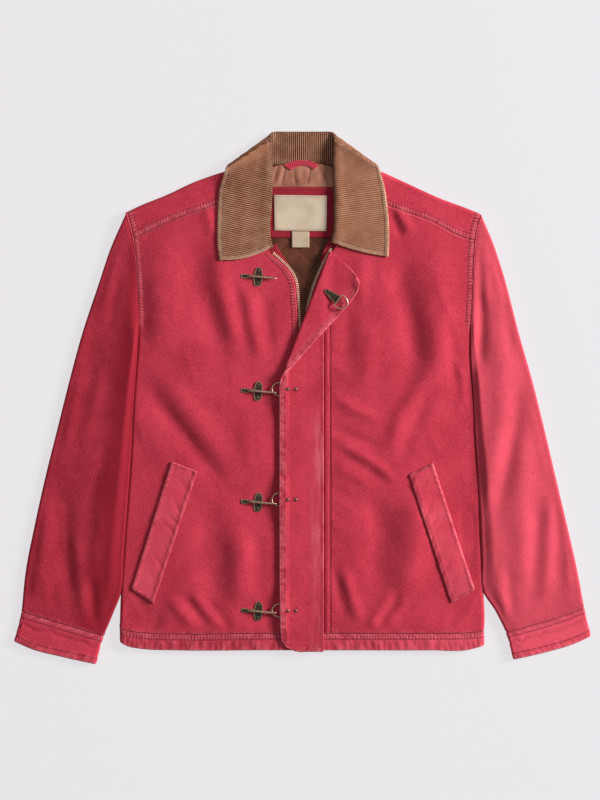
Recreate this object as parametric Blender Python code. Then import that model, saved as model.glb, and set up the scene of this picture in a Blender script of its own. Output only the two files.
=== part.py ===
"""Canvas work jacket lying flat on its back: corduroy collar, storm flap over a zip, four clasps, slant pockets.

The garment lies in the XY plane with its collar towards +Y, its front up (+Z) and its back flat on Z = 0. Right and
left are the wearer's. Tables give places in millimetres on that plane. Every cloth piece is a wall between an outer
and an inner grid of points, both worked out from its seams and from the height of the layers below it.
"""
import math

import bmesh
import bpy
import numpy as np

MM = 0.001

# Cloth walls: canvas with its quilted lining on the body, canvas with a plain lining in the sleeves.
BODY_WALL = 4.0 * MM
SLEEVE_WALL = 3.0 * MM
COLLAR_WALL = 2.6 * MM
FLAP_WALL = 2.4 * MM
WELT_WALL = 2.4 * MM
TRIM_WALL = 0.8 * MM
LINING_WALL = 1.0 * MM
AIR = 0.8 * MM              # between the back and the front where they lie closest
SEAM = 0.4 * MM             # between two pieces at a seam
ARMHOLE_SEAM = 1.2 * MM     # between a sleeve and the body, whose curves have different corners
REST = 0.3 * MM             # between a piece and what it lies on
PANEL_REST = 0.85 * MM      # between a large piece and the coarser folds of what it lies on
NECK_REST = 1.2 * MM        # between the back, where it rises over the collar, and what lies on it

EDGE_RADIUS = 5.5 * MM      # half width of the soft roll at a body edge
SLEEVE_OUTER_RADIUS = 4.6 * MM
SLEEVE_INNER_RADIUS = 3.7 * MM
SLEEVE_TUCK = 1.8 * MM      # the sleeve's inner edge lies this far outside the body's edge
SHOULDER_UNDERLAP = 20 * MM  # how far the shoulder panel reaches under the back

BODY_BASE = 2 * BODY_WALL + AIR
SLEEVE_BASE = 2 * SLEEVE_WALL + AIR
NECK_LIFT = 4.0 * MM        # the body lies this much higher where the collar's fall passes under it
LIFT_HALF_WIDTH = 116 * MM
LIFT_FADE = 38 * MM
LIFT_AHEAD = 6 * MM         # the full height is reached this far before the fall's edge
FALL_UNDER_Y = 322 * MM     # free edge of the fall under the middle of the back
FALL_UNDER_RISE = 22 * MM   # how much further up that edge lies at the sides

# Side edges of the body: y, x on the right side, x on the left side
SIDES = ((-377, -268, 268), (-345, -274, 272), (-290, -272, 271), (-213, -267, 268), (-138, -261, 265),
         (-78, -257, 260), (-14, -254, 258), (46, -249.5, 253), (94, -246, 252), (118, -245, 253))
# Armhole seams: y, x on the right side, x on the left side
ARMHOLES = ((118, -245, 253), (142, -245.5, 254), (165, -246.5, 255), (207, -249, 256), (235, -252, 257.5),
            (256, -256.5, 261), (277, -263, 267))
UNDERARM_Y = 118
# Forward shoulder seam, from the armhole to the neck: x and y on the right, x and y on the left
FORWARD_SEAMS = ((-252.5, 239, 257.5, 236), (-232, 249, 244, 239), (-203, 263, 190, 265), (-167, 276, 146, 281),
                 (-127, 290, 124, 289), (-72, 305, 72, 305))
# Shoulder fold, from the armhole to the neck: x and y on the right, x and y on the left
SHOULDER_FOLDS = ((-263, 278, 267, 275), (-247, 286, 258, 279), (-203, 304, 203, 300), (-160, 324, 146, 326),
                  (-122, 337, 116, 339), (-64, 352, 64, 352))
# Neck seam of the fronts, from the shoulder to the front edge: x and y on the right, x and y on the left
FRONT_NECKS = ((-72, 305, 72, 305), (-71, 290, 71, 290), (-66, 262, 66, 264), (-58, 236, 58, 243),
               (-47, 215, 47, 222))
# Front edges beside the zip, from the neck to the hem: x and y on the right, x and y on the left
FRONT_EDGES = ((-47, 215, 47, 222), (-29, 199, 38, 206), (-18, 186, 27, 184), (-12, 172, 19, 163),
               (-10, 153, 14, 145), (-8, 130, 11, 127), (-7, 99, 9, 99), (-7, 0, 9, 0), (-7, -120, 9, -120),
               (-7, -240, 9, -240), (-7, -353, 9, -353))
# Hem seam and hem edge: x, y of the seam, y of the edge
HEM = ((-274, -345, -366), (-262, -349, -372), (-240, -352, -376), (-190, -354, -378), (-60, -353, -378),
       (60, -353, -378), (190, -353, -378), (250, -352, -377), (272, -350, -371))
BACK_NECK = ((-68, 327), (-60, 338), (-44, 345), (-22, 348.5), (0, 349), (22, 348.5), (44, 345), (60, 338), (68, 327))

# Outer edge of the sleeves, shoulder to cuff: x and y on the right, x and y on the left
SLEEVE_OUTERS = ((-263, 279, 267, 275), (-289, 220, 285, 233), (-304, 175, 297, 198), (-332, 90, 326, 90),
                 (-349, 27, 344, 27), (-367, -45, 362, -45), (-385, -117, 379, -117), (-401, -189, 396, -189),
                 (-415, -261, 411, -255), (-421, -321, 422, -314))
# Where the inner edges leave the body, down to the cuff: x and y on the right, x and y on the left
SLEEVE_INNERS = ((-284, -324, 288, -318), (-298, -357, 305, -351))
SLEEVE_LEAVES_BODY_Y = -290
# Cuff seams, outer edge to inner edge: x and y on the right, x and y on the left
CUFF_SEAMS = ((-421, -321, 422, -314), (-367, -337, 385, -328), (-330, -348, 345, -340), (-298, -357, 305, -351))
CUFF_EDGES = ((-432, -365, 432, -357), (-404, -377, 408, -368), (-360, -388, 364, -381), (-310, -399, 316, -392))

# Soft folds: start x, start y, end x, end y, half width, height (a trough is negative)
FOLDS = (
    (-245, 62, -168, -38, 11, 1.6), (-196, 14, -101, -142, 17, -2.2), (-168, 150, -150, 20, 17, 1.4),
    (-144, 170, -120, 60, 13, -1.7), (-92, 95, -74, 30, 14, -1.4), (-55, 60, -52, -330, 12, -1.6),
    (-150, -190, -120, -330, 16, -1.3), (-226, -312, -190, -345, 8, -1.3), (-190, -230, -165, -330, 12, 1.2),
    (170, 210, 206, 130, 20, -2.4), (130, 190, 118, 60, 20, 1.5), (160, 14, 188, 52, 7, 1.4),
    (46, -40, 150, -92, 9, -1.5), (44, -14, 140, -58, 8, 1.2), (132, -70, 172, -250, 15, -1.8),
    (112, -330, 150, -276, 8, 1.3), (76, -330, 98, -262, 9, -1.2), (236, 110, 243, -110, 9, -1.3),
    (232, 42, 246, -2, 7, 1.2), (180, -345, 205, -262, 8, -1.2),
    (-292, 60, -300, -300, 15, -2.0), (-331, -60, -372, -300, 20, 1.6), (-300, 140, -322, 40, 14, 1.2),
    (284, 180, 276, 20, 9, -2.4), (296, 120, 312, -40, 13, 1.8), (328, -60, 290, -190, 11, -2.0),
    (352, -235, 372, -180, 10, -1.7), (364, -60, 392, -200, 14, 1.4), (318, -190, 334, -300, 12, 1.2),
)

# Collar sections on the fronts, front end to shoulder: neck x, y; crease x, y; edge x, y; bow of the fall
COLLAR_FRONT_RIGHT = ((-48.5, 223, -42.5, 224.5, -121, 208, -7), (-57.5, 242, -47.5, 239, -126, 226, -3),
                      (-64, 264, -49.5, 257, -127, 250, 0), (-68.5, 288, -47.5, 284, -125.5, 284, 0),
                      (-69, 312, -46, 316, -122.5, 311, 0))
COLLAR_FRONT_LEFT = ((50, 230, 41.5, 232, 128, 211, -3), (58, 248, 46, 246, 129.5, 230, -1),
                     (64.5, 268, 48, 264, 129.5, 254, 0), (68.5, 290, 47.5, 288, 127, 286, 0),
                     (69, 312, 47, 316, 123.5, 311, 0))
# Collar sections from the shoulder to the middle of the back, right half: turn in degrees (0 on the front, 180 under
# the back); neck x, y; crease x, y; edge x, y
COLLAR_BACK = ((0, -66, 330, -46, 350, -119, 329), (30, -64.5, 340, -46.5, 373, -117, 336),
               (60, -62.5, 347, -46.5, 387, -114.5, 342.5), (90, -60, 351, -46, 394, -112, 347),
               (120, -57, 350, -44.5, 396.5, -108.5, 346), (150, -52, 348, -41, 397.6, -102, 342),
               (180, -42, 348.8, -33, 397.7, -90, 336), (180, -26, 350.4, -22, 397.7, -60, 328),
               (180, -10, 351.2, -9, 397.7, -24, 323))
CREASE_HALF_GAP = 2.05 * MM
STAND_RISE = 3.6 * MM

# Storm flap, neck to hem: attached x, y; free x, y of its flat pattern
FLAP_ROWS = ((45, 216, 12, 217), (43, 205, -21, 213), (40, 190, -28, 205), (37, 172, -32, 186), (35, 150, -34, 160),
             (33, 128, -35, 135), (32, 105, -35, 108), (32, 80, -35, 82), (32, 55, -35, 55), (32, 20, -35, 20),
             (32, -40, -35, -40), (32, -100, -35, -100), (32, -160, -35, -160), (32, -220, -35, -220),
             (32, -280, -34.5, -280), (32, -330, -34, -330), (32, -352, -33, -352), (32, -367, -29, -367),
             (32, -375, -21, -375), (31, -380, -8, -380))
FLAP_FOLD_TOP = (43.5, 221)
FLAP_FOLD_FOOT = (-18, 60)
FLAP_FOLD_RADIUS = 1.9 * MM
FLAP_DROOP = 3.1 * MM
# Gap under the flap: x, gap. It is open at the free edge, where the rings and their plates lie.
FLAP_GAPS = ((-60, 4.7), (-25, 4.6), (-19, 2.4), (-6, 1.5), (6, 0.5), (20, 0.3), (60, 0.3))

# Pocket welts: x, y of the top outer, top inner, bottom inner and bottom outer corner
WELT_RIGHT = ((-196, -95), (-157, -110), (-223, -308), (-256, -286))
WELT_LEFT = ((195, -97), (159, -115), (222, -307), (258, -287))

CLASP_X = -66
CLASP_YS = (181, 10, -156, -319)
CLASP_TILT = math.radians(-2.5)
PLATE_THICKNESS = 1.0 * MM
# Outline of a clasp plate around its middle: x, y
CLASP_OUTLINE = ((-25.5, 0), (-24, 3.4), (-18, 4), (-12, 2.6), (-7, 4), (-3, 10.5), (-0.5, 14), (3.6, 13.2), (5, 8),
                 (6.2, 3), (6.2, -3.4), (2.4, -8), (1.6, -11.6), (-1.6, -13.6), (-5, -11.4), (-6, -7), (-10, -3.4),
                 (-18, -3.6), (-24, -3.2))
TONGUE_ROUTE = ((-19, 1.6, 2.1), (-14, 0.8, 2.6), (-8, -2.4, 3.6), (-1, -5.2, 4.3), (10, -6.4, 4.6), (20, -6.8, 4.6),
                (28, -6.8, 4.4))
HOOK_ROUTE = ((-3, -0.6, 2.4), (4, -0.6, 2.6), (11, -0.4, 3.6), (16.5, -0.2, 5.0), (21, 0, 5.1), (24.6, 0, 3.6))
TONGUE_RADIUS = 1.4 * MM
HOOK_RADIUS = 1.1 * MM

WIRE_RADIUS = 0.9 * MM
CURL_CLEARANCE = 0.35 * MM
RING_PLATE_THICKNESS = 0.7 * MM
RING_PLATE_LENGTH = 24 * MM
CURL_HALF_WIDTH = 6.3 * MM
TAIL_HALF_WIDTH = 3 * MM
RING_BAR = 17 * MM
RING_DEPTH = 16 * MM
RING_X = -29.5
RING_YS = (13, -152, -318)
OPEN_RING_PLACE = (53, 146)
OPEN_RING_ANGLE = math.radians(-38.5)
RIVET_OFFSETS = (7.5, 19.5)   # along a ring plate, from the bar
RIVET_RADIUS = 2.7 * MM
RIVET_HEIGHT = 1.3 * MM

RED_CANVAS = ("red_canvas", (0.45, 0.035, 0.065), 0.85, 0.0)
TAN_CORDUROY = ("tan_corduroy", (0.36, 0.17, 0.08), 0.9, 0.0)
BROWN_LINING = ("brown_lining", (0.16, 0.06, 0.035), 0.6, 0.0)
TAN_LINING = ("tan_lining", (0.38, 0.2, 0.13), 0.5, 0.0)
CREAM_LABEL = ("cream_label", (0.7, 0.6, 0.44), 0.7, 0.0)
OLD_BRASS = ("old_brass", (0.16, 0.12, 0.07), 0.4, 1.0)


# ---------------------------------------------------------------- heights and lines

def smoothstep(t):
    """Ease from 0 to 1 as t goes from 0 to 1."""
    t = np.clip(t, 0.0, 1.0)
    return t * t * (3.0 - 2.0 * t)


def lift(x, y):
    """Height of the body's underside: zero, but raised over the collar's fall behind the neck."""
    free_edge = FALL_UNDER_Y + FALL_UNDER_RISE * (x / LIFT_HALF_WIDTH) ** 2
    into = smoothstep((y - free_edge + LIFT_FADE + LIFT_AHEAD) / LIFT_FADE)
    beside = smoothstep((LIFT_HALF_WIDTH + LIFT_FADE - np.abs(x)) / LIFT_FADE)
    return NECK_LIFT * into * beside


def fold_height(x, y):
    """Sum of the soft folds at a point."""
    total = np.zeros(np.broadcast(x, y).shape)
    for start_x, start_y, end_x, end_y, half_width, height in FOLDS:
        ax, ay = start_x * MM, start_y * MM
        dx, dy = end_x * MM - ax, end_y * MM - ay
        along = np.clip(((x - ax) * dx + (y - ay) * dy) / (dx * dx + dy * dy), 0.0, 1.0)
        away = (x - ax - along * dx) ** 2 + (y - ay - along * dy) ** 2
        total = total + height * MM * np.exp(-away / (half_width * MM) ** 2)
    return total


def body_top(x, y):
    """Height of the fronts' upper side, with the layers below it, its loft and its folds."""
    x = np.asarray(x, dtype=float)
    y = np.asarray(y, dtype=float)
    hem = smoothstep((y + 378 * MM) / (45 * MM))
    shoulder = 1.0 - 0.45 * smoothstep((y - (250 * MM)) / (60 * MM))
    sides = 1.0 - 0.35 * smoothstep((np.abs(x) - 190 * MM) / (70 * MM))
    loft = 0.6 * MM + 3.0 * MM * hem * shoulder * sides
    soft = smoothstep((np.abs(x) - 34 * MM) / (26 * MM))
    neck_clear = 1.0 - smoothstep((y - 200 * MM) / (30 * MM)) * (1.0 - smoothstep((np.abs(x) - 120 * MM) / (30 * MM)))
    rise = loft + fold_height(x, y) * soft * hem * neck_clear
    return lift(x, y) + BODY_BASE + np.maximum(rise, 0.35 * MM)


def smooth_line(rows, fractions):
    """Points at the given fractions of the length of a smooth line through the rows (millimetres)."""
    points = np.array(rows, dtype=float) * MM
    chord = np.concatenate(([0.0], np.cumsum(np.linalg.norm(np.diff(points, axis=0), axis=1))))
    slope = np.gradient(points, chord, axis=0)
    at = np.asarray(fractions) * chord[-1]
    i = np.clip(np.searchsorted(chord, at, side="right") - 1, 0, len(chord) - 2)
    h = (chord[i + 1] - chord[i])[:, None]
    s = ((at - chord[i]) / (chord[i + 1] - chord[i]))[:, None]
    return ((2 * s ** 3 - 3 * s ** 2 + 1) * points[i] + (s ** 3 - 2 * s ** 2 + s) * h * slope[i]
            + (3 * s ** 2 - 2 * s ** 3) * points[i + 1] + (s ** 3 - s ** 2) * h * slope[i + 1])


def of_side(rows, side):
    """The x, y rows of one side, from a table that gives both."""
    return [(row[0], row[1]) if side < 0 else (row[2], row[3]) for row in rows]


def edge_rows(rows, side):
    """The x, y rows of one side, from a table of y and the two x."""
    return [(row[1] if side < 0 else row[2], row[0]) for row in rows]


def part_of(rows, first_y, last_y):
    """Rows of a line that runs up in y, cut at two heights."""
    ys = [row[1] for row in rows]
    xs = [row[0] for row in rows]
    inside = [row for row in rows if first_y < row[1] < last_y]
    return [(np.interp(first_y, ys, xs), first_y), *inside, (np.interp(last_y, ys, xs), last_y)]


def between(rows, first_x, last_x):
    """Rows of a line that runs along x, cut at two places."""
    xs = [row[0] for row in rows]
    ys = [row[1] for row in rows]
    inside = [row for row in rows if first_x < row[0] < last_x]
    return [(first_x, np.interp(first_x, xs, ys)), *inside, (last_x, np.interp(last_x, xs, ys))]


def patch(foot, head, first, last, u, v):
    """Grid of plane points between four edges: foot and head run along u, first and last run along v."""
    foot, head = smooth_line(foot, u)[None], smooth_line(head, u)[None]
    first, last = smooth_line(first, v)[:, None], smooth_line(last, v)[:, None]
    u, v = np.asarray(u)[None, :, None], np.asarray(v)[:, None, None]
    corners = ((1 - v) * ((1 - u) * foot[:, :1] + u * foot[:, -1:]) + v * ((1 - u) * head[:, :1] + u * head[:, -1:]))
    return (1 - v) * foot + v * head + (1 - u) * first + u * last - corners


def unit(vectors):
    """The vectors at length one."""
    return vectors / np.linalg.norm(vectors, axis=-1, keepdims=True)


def pull_in(grid, first=0.0, last=0.0, foot=0.0, head=0.0):
    """Move the outermost rows and columns of a plane grid inwards, which opens the seams."""
    grid = grid.copy()
    grid[:, 0] += first * unit(grid[:, 1] - grid[:, 0])
    grid[:, -1] += last * unit(grid[:, -2] - grid[:, -1])
    grid[0] += foot * unit(grid[1] - grid[0])
    grid[-1] += head * unit(grid[-2] - grid[-1])
    return grid


def lay(plane, height):
    """Points of space over plane points, at one height or at a height for each."""
    return np.concatenate((plane, np.broadcast_to(height, plane.shape[:-1])[..., None]), axis=-1)


# ---------------------------------------------------------------- meshes

def material(finish):
    """One Principled material for a finish of name, colour, roughness and metallic value."""
    name, colour, roughness, metallic = finish
    made = bpy.data.materials.get(name) or bpy.data.materials.new(name)
    made.use_nodes = True
    shader = made.node_tree.nodes["Principled BSDF"]
    shader.inputs["Base Color"].default_value = (*colour, 1.0)
    shader.inputs["Roughness"].default_value = roughness
    shader.inputs["Metallic"].default_value = metallic
    return made


def place(bm, name, finish):
    """Turn a bmesh into a named object in the jacket's collection."""
    bmesh.ops.recalc_face_normals(bm, faces=bm.faces)
    if bm.calc_volume(signed=True) < 0:
        bmesh.ops.reverse_faces(bm, faces=bm.faces)
    mesh = bpy.data.meshes.new(name)
    bm.to_mesh(mesh)
    bm.free()
    mesh.materials.append(material(finish))
    mesh.shade_smooth()
    mesh.set_sharp_from_angle(angle=math.radians(50))
    made = bpy.data.objects.new(name, mesh)
    bpy.data.collections["work_jacket"].objects.link(made)
    return made


def grid_of(bm, points):
    """Add an open grid whose corners are the given rows and columns of points."""
    rows, columns = points.shape[:2]
    made = bmesh.ops.create_grid(bm, x_segments=columns - 1, y_segments=rows - 1, size=1.0)
    for vert, point in zip(made["verts"], points.reshape(-1, 3)):
        vert.co = point
    return made["verts"]


def wall(name, outer, inner, finish):
    """Closed cloth wall between an outer and an inner grid of the same size."""
    bm = bmesh.new()
    grid_of(bm, outer)
    grid_of(bm, inner)
    rim = [edge for edge in bm.edges if edge.is_boundary]
    bmesh.ops.bridge_loops(bm, edges=rim)
    return place(bm, name, finish)


def tube_wall(name, outer, inner, finish):
    """Closed wall of a cloth tube: each row of both grids is a ring, which ends on its first point."""
    bm = bmesh.new()
    grid_of(bm, outer)
    grid_of(bm, inner)
    bmesh.ops.remove_doubles(bm, verts=bm.verts, dist=0.001 * MM)
    rim = [edge for edge in bm.edges if edge.is_boundary]
    ends = [{tuple(np.round(point, 6)) for point in np.concatenate((outer[row], inner[row])).astype(np.float32)
             .astype(float)} for row in (0, -1)]
    for end in ends:
        loop = [edge for edge in rim if tuple(np.round(np.array(edge.verts[0].co), 6)) in end]
        bmesh.ops.bridge_loops(bm, edges=loop)
    return place(bm, name, finish)


ROLL_STEPS = 4


def roll_columns(base, outward, radius, share, last_angle, steps):
    """Plane points and turns of a soft roll beyond a line of base points.

    share is 1 where the cloth rolls over and 0 where it stays flat up to its seam.
    """
    columns, turns = [], []
    for step in range(1, steps + 1):
        angle = last_angle * step / steps
        reach = radius * (share * math.sin(angle) + (1 - share) * step / steps)
        columns.append(base + outward * reach[:, None])
        turns.append(angle * share)
    return np.stack(columns, axis=1), np.stack(turns, axis=1)


def rolled_panel(grid, share, wall_width, upper, first=True, last=False):
    """Outer and inner points of a body panel whose first or last edge rolls over to the side seam."""
    sign = 1.0 if upper else -1.0
    grid = grid.copy()
    pieces = {"outer": [], "inner": [], "turn": [], "base": []}
    ends = [(0, 1)] * first + [(-1, -2)] * last
    for end, beside in ends:
        outward = unit(grid[:, end] - grid[:, beside])
        grid[:, end] -= outward * EDGE_RADIUS
    for end, beside in ends:
        outward = unit(grid[:, end] - grid[:, beside])
        base = grid[:, end]
        flat_radius = np.full(len(base), EDGE_RADIUS)
        outer, turn = roll_columns(base, outward, flat_radius, share, math.pi / 2, ROLL_STEPS)
        inner_radius = flat_radius - wall_width * share
        inner, _ = roll_columns(base, outward, inner_radius, share, math.pi / 2, ROLL_STEPS)
        order = slice(None, None, -1) if end == 0 else slice(None)
        pieces["outer"].append(outer[:, order])
        pieces["inner"].append(inner[:, order])
        pieces["turn"].append(turn[:, order])
        pieces["base"].append(np.repeat(base[:, None], ROLL_STEPS, axis=1))

    def join(kind, middle):
        parts = ([pieces[kind][0]] if first else []) + [middle] + ([pieces[kind][-1]] if last else [])
        return np.concatenate(parts, axis=1)

    flat = np.zeros(grid.shape[:2])
    outer_plane, inner_plane = join("outer", grid), join("inner", grid)
    turn, base = join("turn", flat), join("base", grid)
    top = body_top(base[..., 0], base[..., 1])
    floor = lift(base[..., 0], base[..., 1])
    middle = (top + floor) / 2 + sign * SEAM / 2 * np.sin(turn)
    half = (top - floor) / 2
    outer = lay(outer_plane, middle + sign * half * np.cos(turn))
    inner = lay(inner_plane, middle + sign * (half - wall_width) * np.cos(turn))
    return outer, inner


def rolled_tube(grid, height, wall_width, radii, under_columns):
    """Outer and inner rings of a flattened tube, whose two edges are soft rolls and whose underside is flat."""
    first_out = unit(grid[:, 0] - grid[:, 1])
    last_out = unit(grid[:, -1] - grid[:, -2])
    grid = grid.copy()
    grid[:, 0] -= first_out * radii[0]
    grid[:, -1] -= last_out * radii[1]
    top = height(grid)
    rings = []
    for inset in (0.0, wall_width):
        parts = [lay(grid, top - inset)]
        for end, outward, radius in ((-1, last_out, radii[1]), (0, first_out, radii[0])):
            middle = top[:, end] / 2
            for step in range(1, ROLL_STEPS):
                angle = math.pi * step / ROLL_STEPS
                angle = angle if end == -1 else math.pi - angle
                plane = grid[:, end] + outward * (radius - inset) * math.sin(angle)
                parts.append(lay(plane, middle + (middle - inset) * math.cos(angle))[:, None])
            if end == -1:
                parts.append(lay(grid[:, ::-1][:, under_columns], inset))
        parts.append(parts[0][:, :1])
        rings.append(np.concatenate(parts, axis=1))
    return rings


# ---------------------------------------------------------------- body

def side_share(rows_y):
    """One below the underarm, where the body's edge rolls over, and zero along the armhole."""
    return 1.0 - smoothstep((rows_y - (UNDERARM_Y - 22) * MM) / (20 * MM))


def body_edge(side):
    """Side edge and armhole of the body on one side, hem to shoulder."""
    return edge_rows(SIDES + ARMHOLES[1:], side)


def hem_rows(column):
    """x, y rows of the hem seam (column 1) or the hem edge (column 2)."""
    return [(row[0], row[column]) for row in HEM]


def front_columns():
    """Fractions across a front, closer together at its side edge."""
    return np.linspace(0.0, 1.0, 12)


def build_front(side, name):
    """One front, from its side edge and armhole to the zip, below the forward shoulder seam."""
    top_y = of_side(FORWARD_SEAMS, side)[0][1]
    outer = part_of(body_edge(side), -345 if side < 0 else -350, top_y)[:-1] + of_side(FORWARD_SEAMS, side)[:1]
    seam_x = outer[0][0]
    foot_rows = between(hem_rows(1), seam_x, -7) if side < 0 else between(hem_rows(1), 9, seam_x)[::-1]
    inner = (of_side(FRONT_NECKS, side)[:-1] + of_side(FRONT_EDGES, side))[::-1]
    rows = np.linspace(0.0, 1.0, 20)
    grid = patch(foot_rows, of_side(FORWARD_SEAMS, side), outer, inner, front_columns(), rows)
    grid = pull_in(grid, foot=SEAM / 2, head=SEAM / 2)
    share = side_share(grid[:, 0, 1])
    grid[:, 0] -= unit(grid[:, 0] - grid[:, 1]) * (SEAM / 2 * (1 - share))[:, None]
    outer_points, inner_points = rolled_panel(grid, share, BODY_WALL, upper=True)
    wall(name, outer_points, inner_points, RED_CANVAS)


def build_front_hem(side, name):
    """Hem band of one front."""
    low_x = -274 if side < 0 else 272
    seam = between(hem_rows(1), low_x, -7) if side < 0 else between(hem_rows(1), 9, low_x)[::-1]
    edge = between(hem_rows(2), low_x + 2, -7) if side < 0 else between(hem_rows(2), 9, low_x - 1)[::-1]
    grid = patch(edge, seam, [edge[0], seam[0]], [edge[-1], seam[-1]], front_columns(), np.linspace(0, 1, 4))
    grid = pull_in(grid, head=SEAM / 2)
    outer, inner = rolled_panel(grid, np.ones(len(grid)), BODY_WALL, upper=True)
    wall(name, outer, inner, RED_CANVAS)


def shoulder_grid(side):
    """Plane points of a shoulder panel: a row for each place from the armhole to the neck."""
    seam, fold = of_side(FORWARD_SEAMS, side), of_side(SHOULDER_FOLDS, side)
    armhole = [seam[0], edge_rows(ARMHOLES, side)[-2], fold[0]]
    return patch(armhole, [seam[-1], fold[-1]], seam, fold, np.linspace(0, 1, 4), front_columns())


def shoulder_back_seam(side):
    """Plane points where a shoulder panel ends under the back, armhole to neck."""
    grid = shoulder_grid(side)
    inward = unit(grid[:, -2] - grid[:, -1])
    return grid[:, -1] + inward * (EDGE_RADIUS + SHOULDER_UNDERLAP)


def build_shoulder(side, name):
    """Shoulder panel: from the forward seam over the shoulder fold to the seam under the back."""
    grid = shoulder_grid(side)
    outward = unit(grid[:, -1] - grid[:, -2])
    grid[:, -1] -= outward * EDGE_RADIUS
    grid = pull_in(grid, first=SEAM / 2)
    grid[0] += SEAM / 2 * unit(grid[1] - grid[0])
    grid[-1] += SEAM / 2 * unit(grid[-2] - grid[-1])
    base = grid[:, -1]
    top, floor = body_top(base[:, 0], base[:, 1]), lift(base[:, 0], base[:, 1])
    middle, half = (top + floor) / 2, (top - floor) / 2
    surfaces = []
    for inset in (0.0, BODY_WALL):
        parts = [lay(grid, body_top(grid[..., 0], grid[..., 1]) - inset)]
        steps = ROLL_STEPS + 2
        for step in range(1, steps + 1):
            angle = math.pi * step / steps
            plane = base + outward * (EDGE_RADIUS - inset) * math.sin(angle)
            parts.append(lay(plane, middle + (half - inset) * math.cos(angle))[:, None])
        for reach in (SHOULDER_UNDERLAP / 2, SHOULDER_UNDERLAP - 1.5 * MM):
            plane = base - outward * reach
            parts.append(lay(plane, lift(plane[:, 0], plane[:, 1]) + inset)[:, None])
        surfaces.append(np.concatenate(parts, axis=1))
    wall(name, surfaces[0], surfaces[1], RED_CANVAS)


BACK_COLUMNS = np.linspace(0, 1, 15)
BACK_ROWS = (0, 0.1, 0.24, 0.38, 0.52, 0.64, 0.7, 0.76, 0.82, 0.865, 0.885, 0.9, 0.914, 0.928, 0.942, 0.956, 0.973, 1)


def build_back():
    """Back panel: flat on the ground, its side edges rolled up to the side seams."""
    right_seam, left_seam = shoulder_back_seam(-1) / MM, shoulder_back_seam(1) / MM
    head = [tuple(p) for p in right_seam[:-1]] + list(BACK_NECK) + [tuple(p) for p in left_seam[-2::-1]]
    right = part_of(body_edge(-1), -345, head[0][1])
    left = part_of(body_edge(1), -350, head[-1][1])
    foot = between(hem_rows(1), right[0][0], left[0][0])
    grid = patch(foot, head, right, left, BACK_COLUMNS, BACK_ROWS)
    grid = pull_in(grid, foot=SEAM / 2, head=SEAM)
    share = side_share(grid[:, 0, 1])
    for end, beside in ((0, 1), (-1, -2)):
        grid[:, end] -= unit(grid[:, end] - grid[:, beside]) * (SEAM / 2 * (1 - share))[:, None]
    outer, inner = rolled_panel(grid, share, BODY_WALL, upper=False, last=True)
    wall("back", outer, inner, RED_CANVAS)


def build_back_hem():
    """Hem band of the back."""
    seam, edge = hem_rows(1), between(hem_rows(2), -272, 271)
    grid = patch(edge, seam, [edge[0], seam[0]], [edge[-1], seam[-1]], BACK_COLUMNS, np.linspace(0, 1, 3))
    grid = pull_in(grid, head=SEAM / 2)
    outer, inner = rolled_panel(grid, np.ones(len(grid)), BODY_WALL, upper=False, last=True)
    wall("hem_back", outer, inner, RED_CANVAS)


# ---------------------------------------------------------------- sleeves and cuffs

def sleeve_inner_edge(side):
    """Inner edge of a sleeve: beside the body's edge, then free down to the cuff."""
    edge = edge_rows(SIDES, side)
    ys, xs = [row[1] for row in edge], [row[0] for row in edge]
    beside = [(np.interp(y, ys, xs) + side * SLEEVE_TUCK / MM, y)
              for y in (UNDERARM_Y - 2, 60, 0, -60, -120, -180, -240, SLEEVE_LEAVES_BODY_Y)]
    return beside + of_side(SLEEVE_INNERS, side)


def sleeve_height(grid):
    """Height of a sleeve's upper side: that of the body at the armhole, then its own loft and folds."""
    rows, columns = grid.shape[:2]
    x, y = grid[..., 0], grid[..., 1]
    across = np.linspace(0, 1, columns)[None]
    down = np.linspace(0, 1, rows)[:, None]
    loft = 1.0 * MM + 3.6 * MM * np.sin(math.pi * across ** 0.8) ** 0.8 * (1 - 0.5 * smoothstep((down - 0.8) / 0.2))
    own = SLEEVE_BASE + loft + fold_height(x, y) * smoothstep(across / 0.12) * smoothstep((1 - across) / 0.1)
    own = np.maximum(own, SLEEVE_BASE + 0.3 * MM)
    head = 1.0 - smoothstep(down / 0.2)
    return own + (body_top(x, y) - own) * head


def build_sleeve(side, name):
    """One sleeve: a flattened tube from the armhole to the cuff seam."""
    outer = of_side(SLEEVE_OUTERS, side)
    inner = sleeve_inner_edge(side)
    head = [outer[0]] + edge_rows(ARMHOLES, side)[-2:0:-1] + [inner[0]]
    u, v = np.linspace(0, 1, 11), np.linspace(0, 1, 17)
    grid = patch(head, of_side(CUFF_SEAMS, side), outer, inner, u, v)
    grid = pull_in(grid, foot=ARMHOLE_SEAM, head=SEAM / 2)
    under = [1, 5, 9]
    rings = rolled_tube(grid, sleeve_height, SLEEVE_WALL, (SLEEVE_OUTER_RADIUS, SLEEVE_INNER_RADIUS), under)
    tube_wall(name, rings[0], rings[1], RED_CANVAS)


def cuff_height(grid):
    """Height of a cuff's upper side."""
    across = np.linspace(0, 1, grid.shape[1])[None]
    return SLEEVE_BASE + 0.6 * MM + 1.8 * MM * np.sin(math.pi * across) + np.zeros(grid.shape[:2])


def build_cuff(side, name):
    """One cuff: the flattened tube at the end of a sleeve."""
    seam, edge = of_side(CUFF_SEAMS, side), of_side(CUFF_EDGES, side)
    grid = patch(seam, edge, [seam[0], edge[0]], [seam[-1], edge[-1]], np.linspace(0, 1, 11), np.linspace(0, 1, 3))
    grid = pull_in(grid, foot=SEAM / 2)
    radii = (SLEEVE_OUTER_RADIUS, SLEEVE_INNER_RADIUS)
    rings = rolled_tube(grid, cuff_height, SLEEVE_WALL, radii, [1, 5, 9])
    tube_wall(name, rings[0], rings[1], RED_CANVAS)


# ---------------------------------------------------------------- collar

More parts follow.
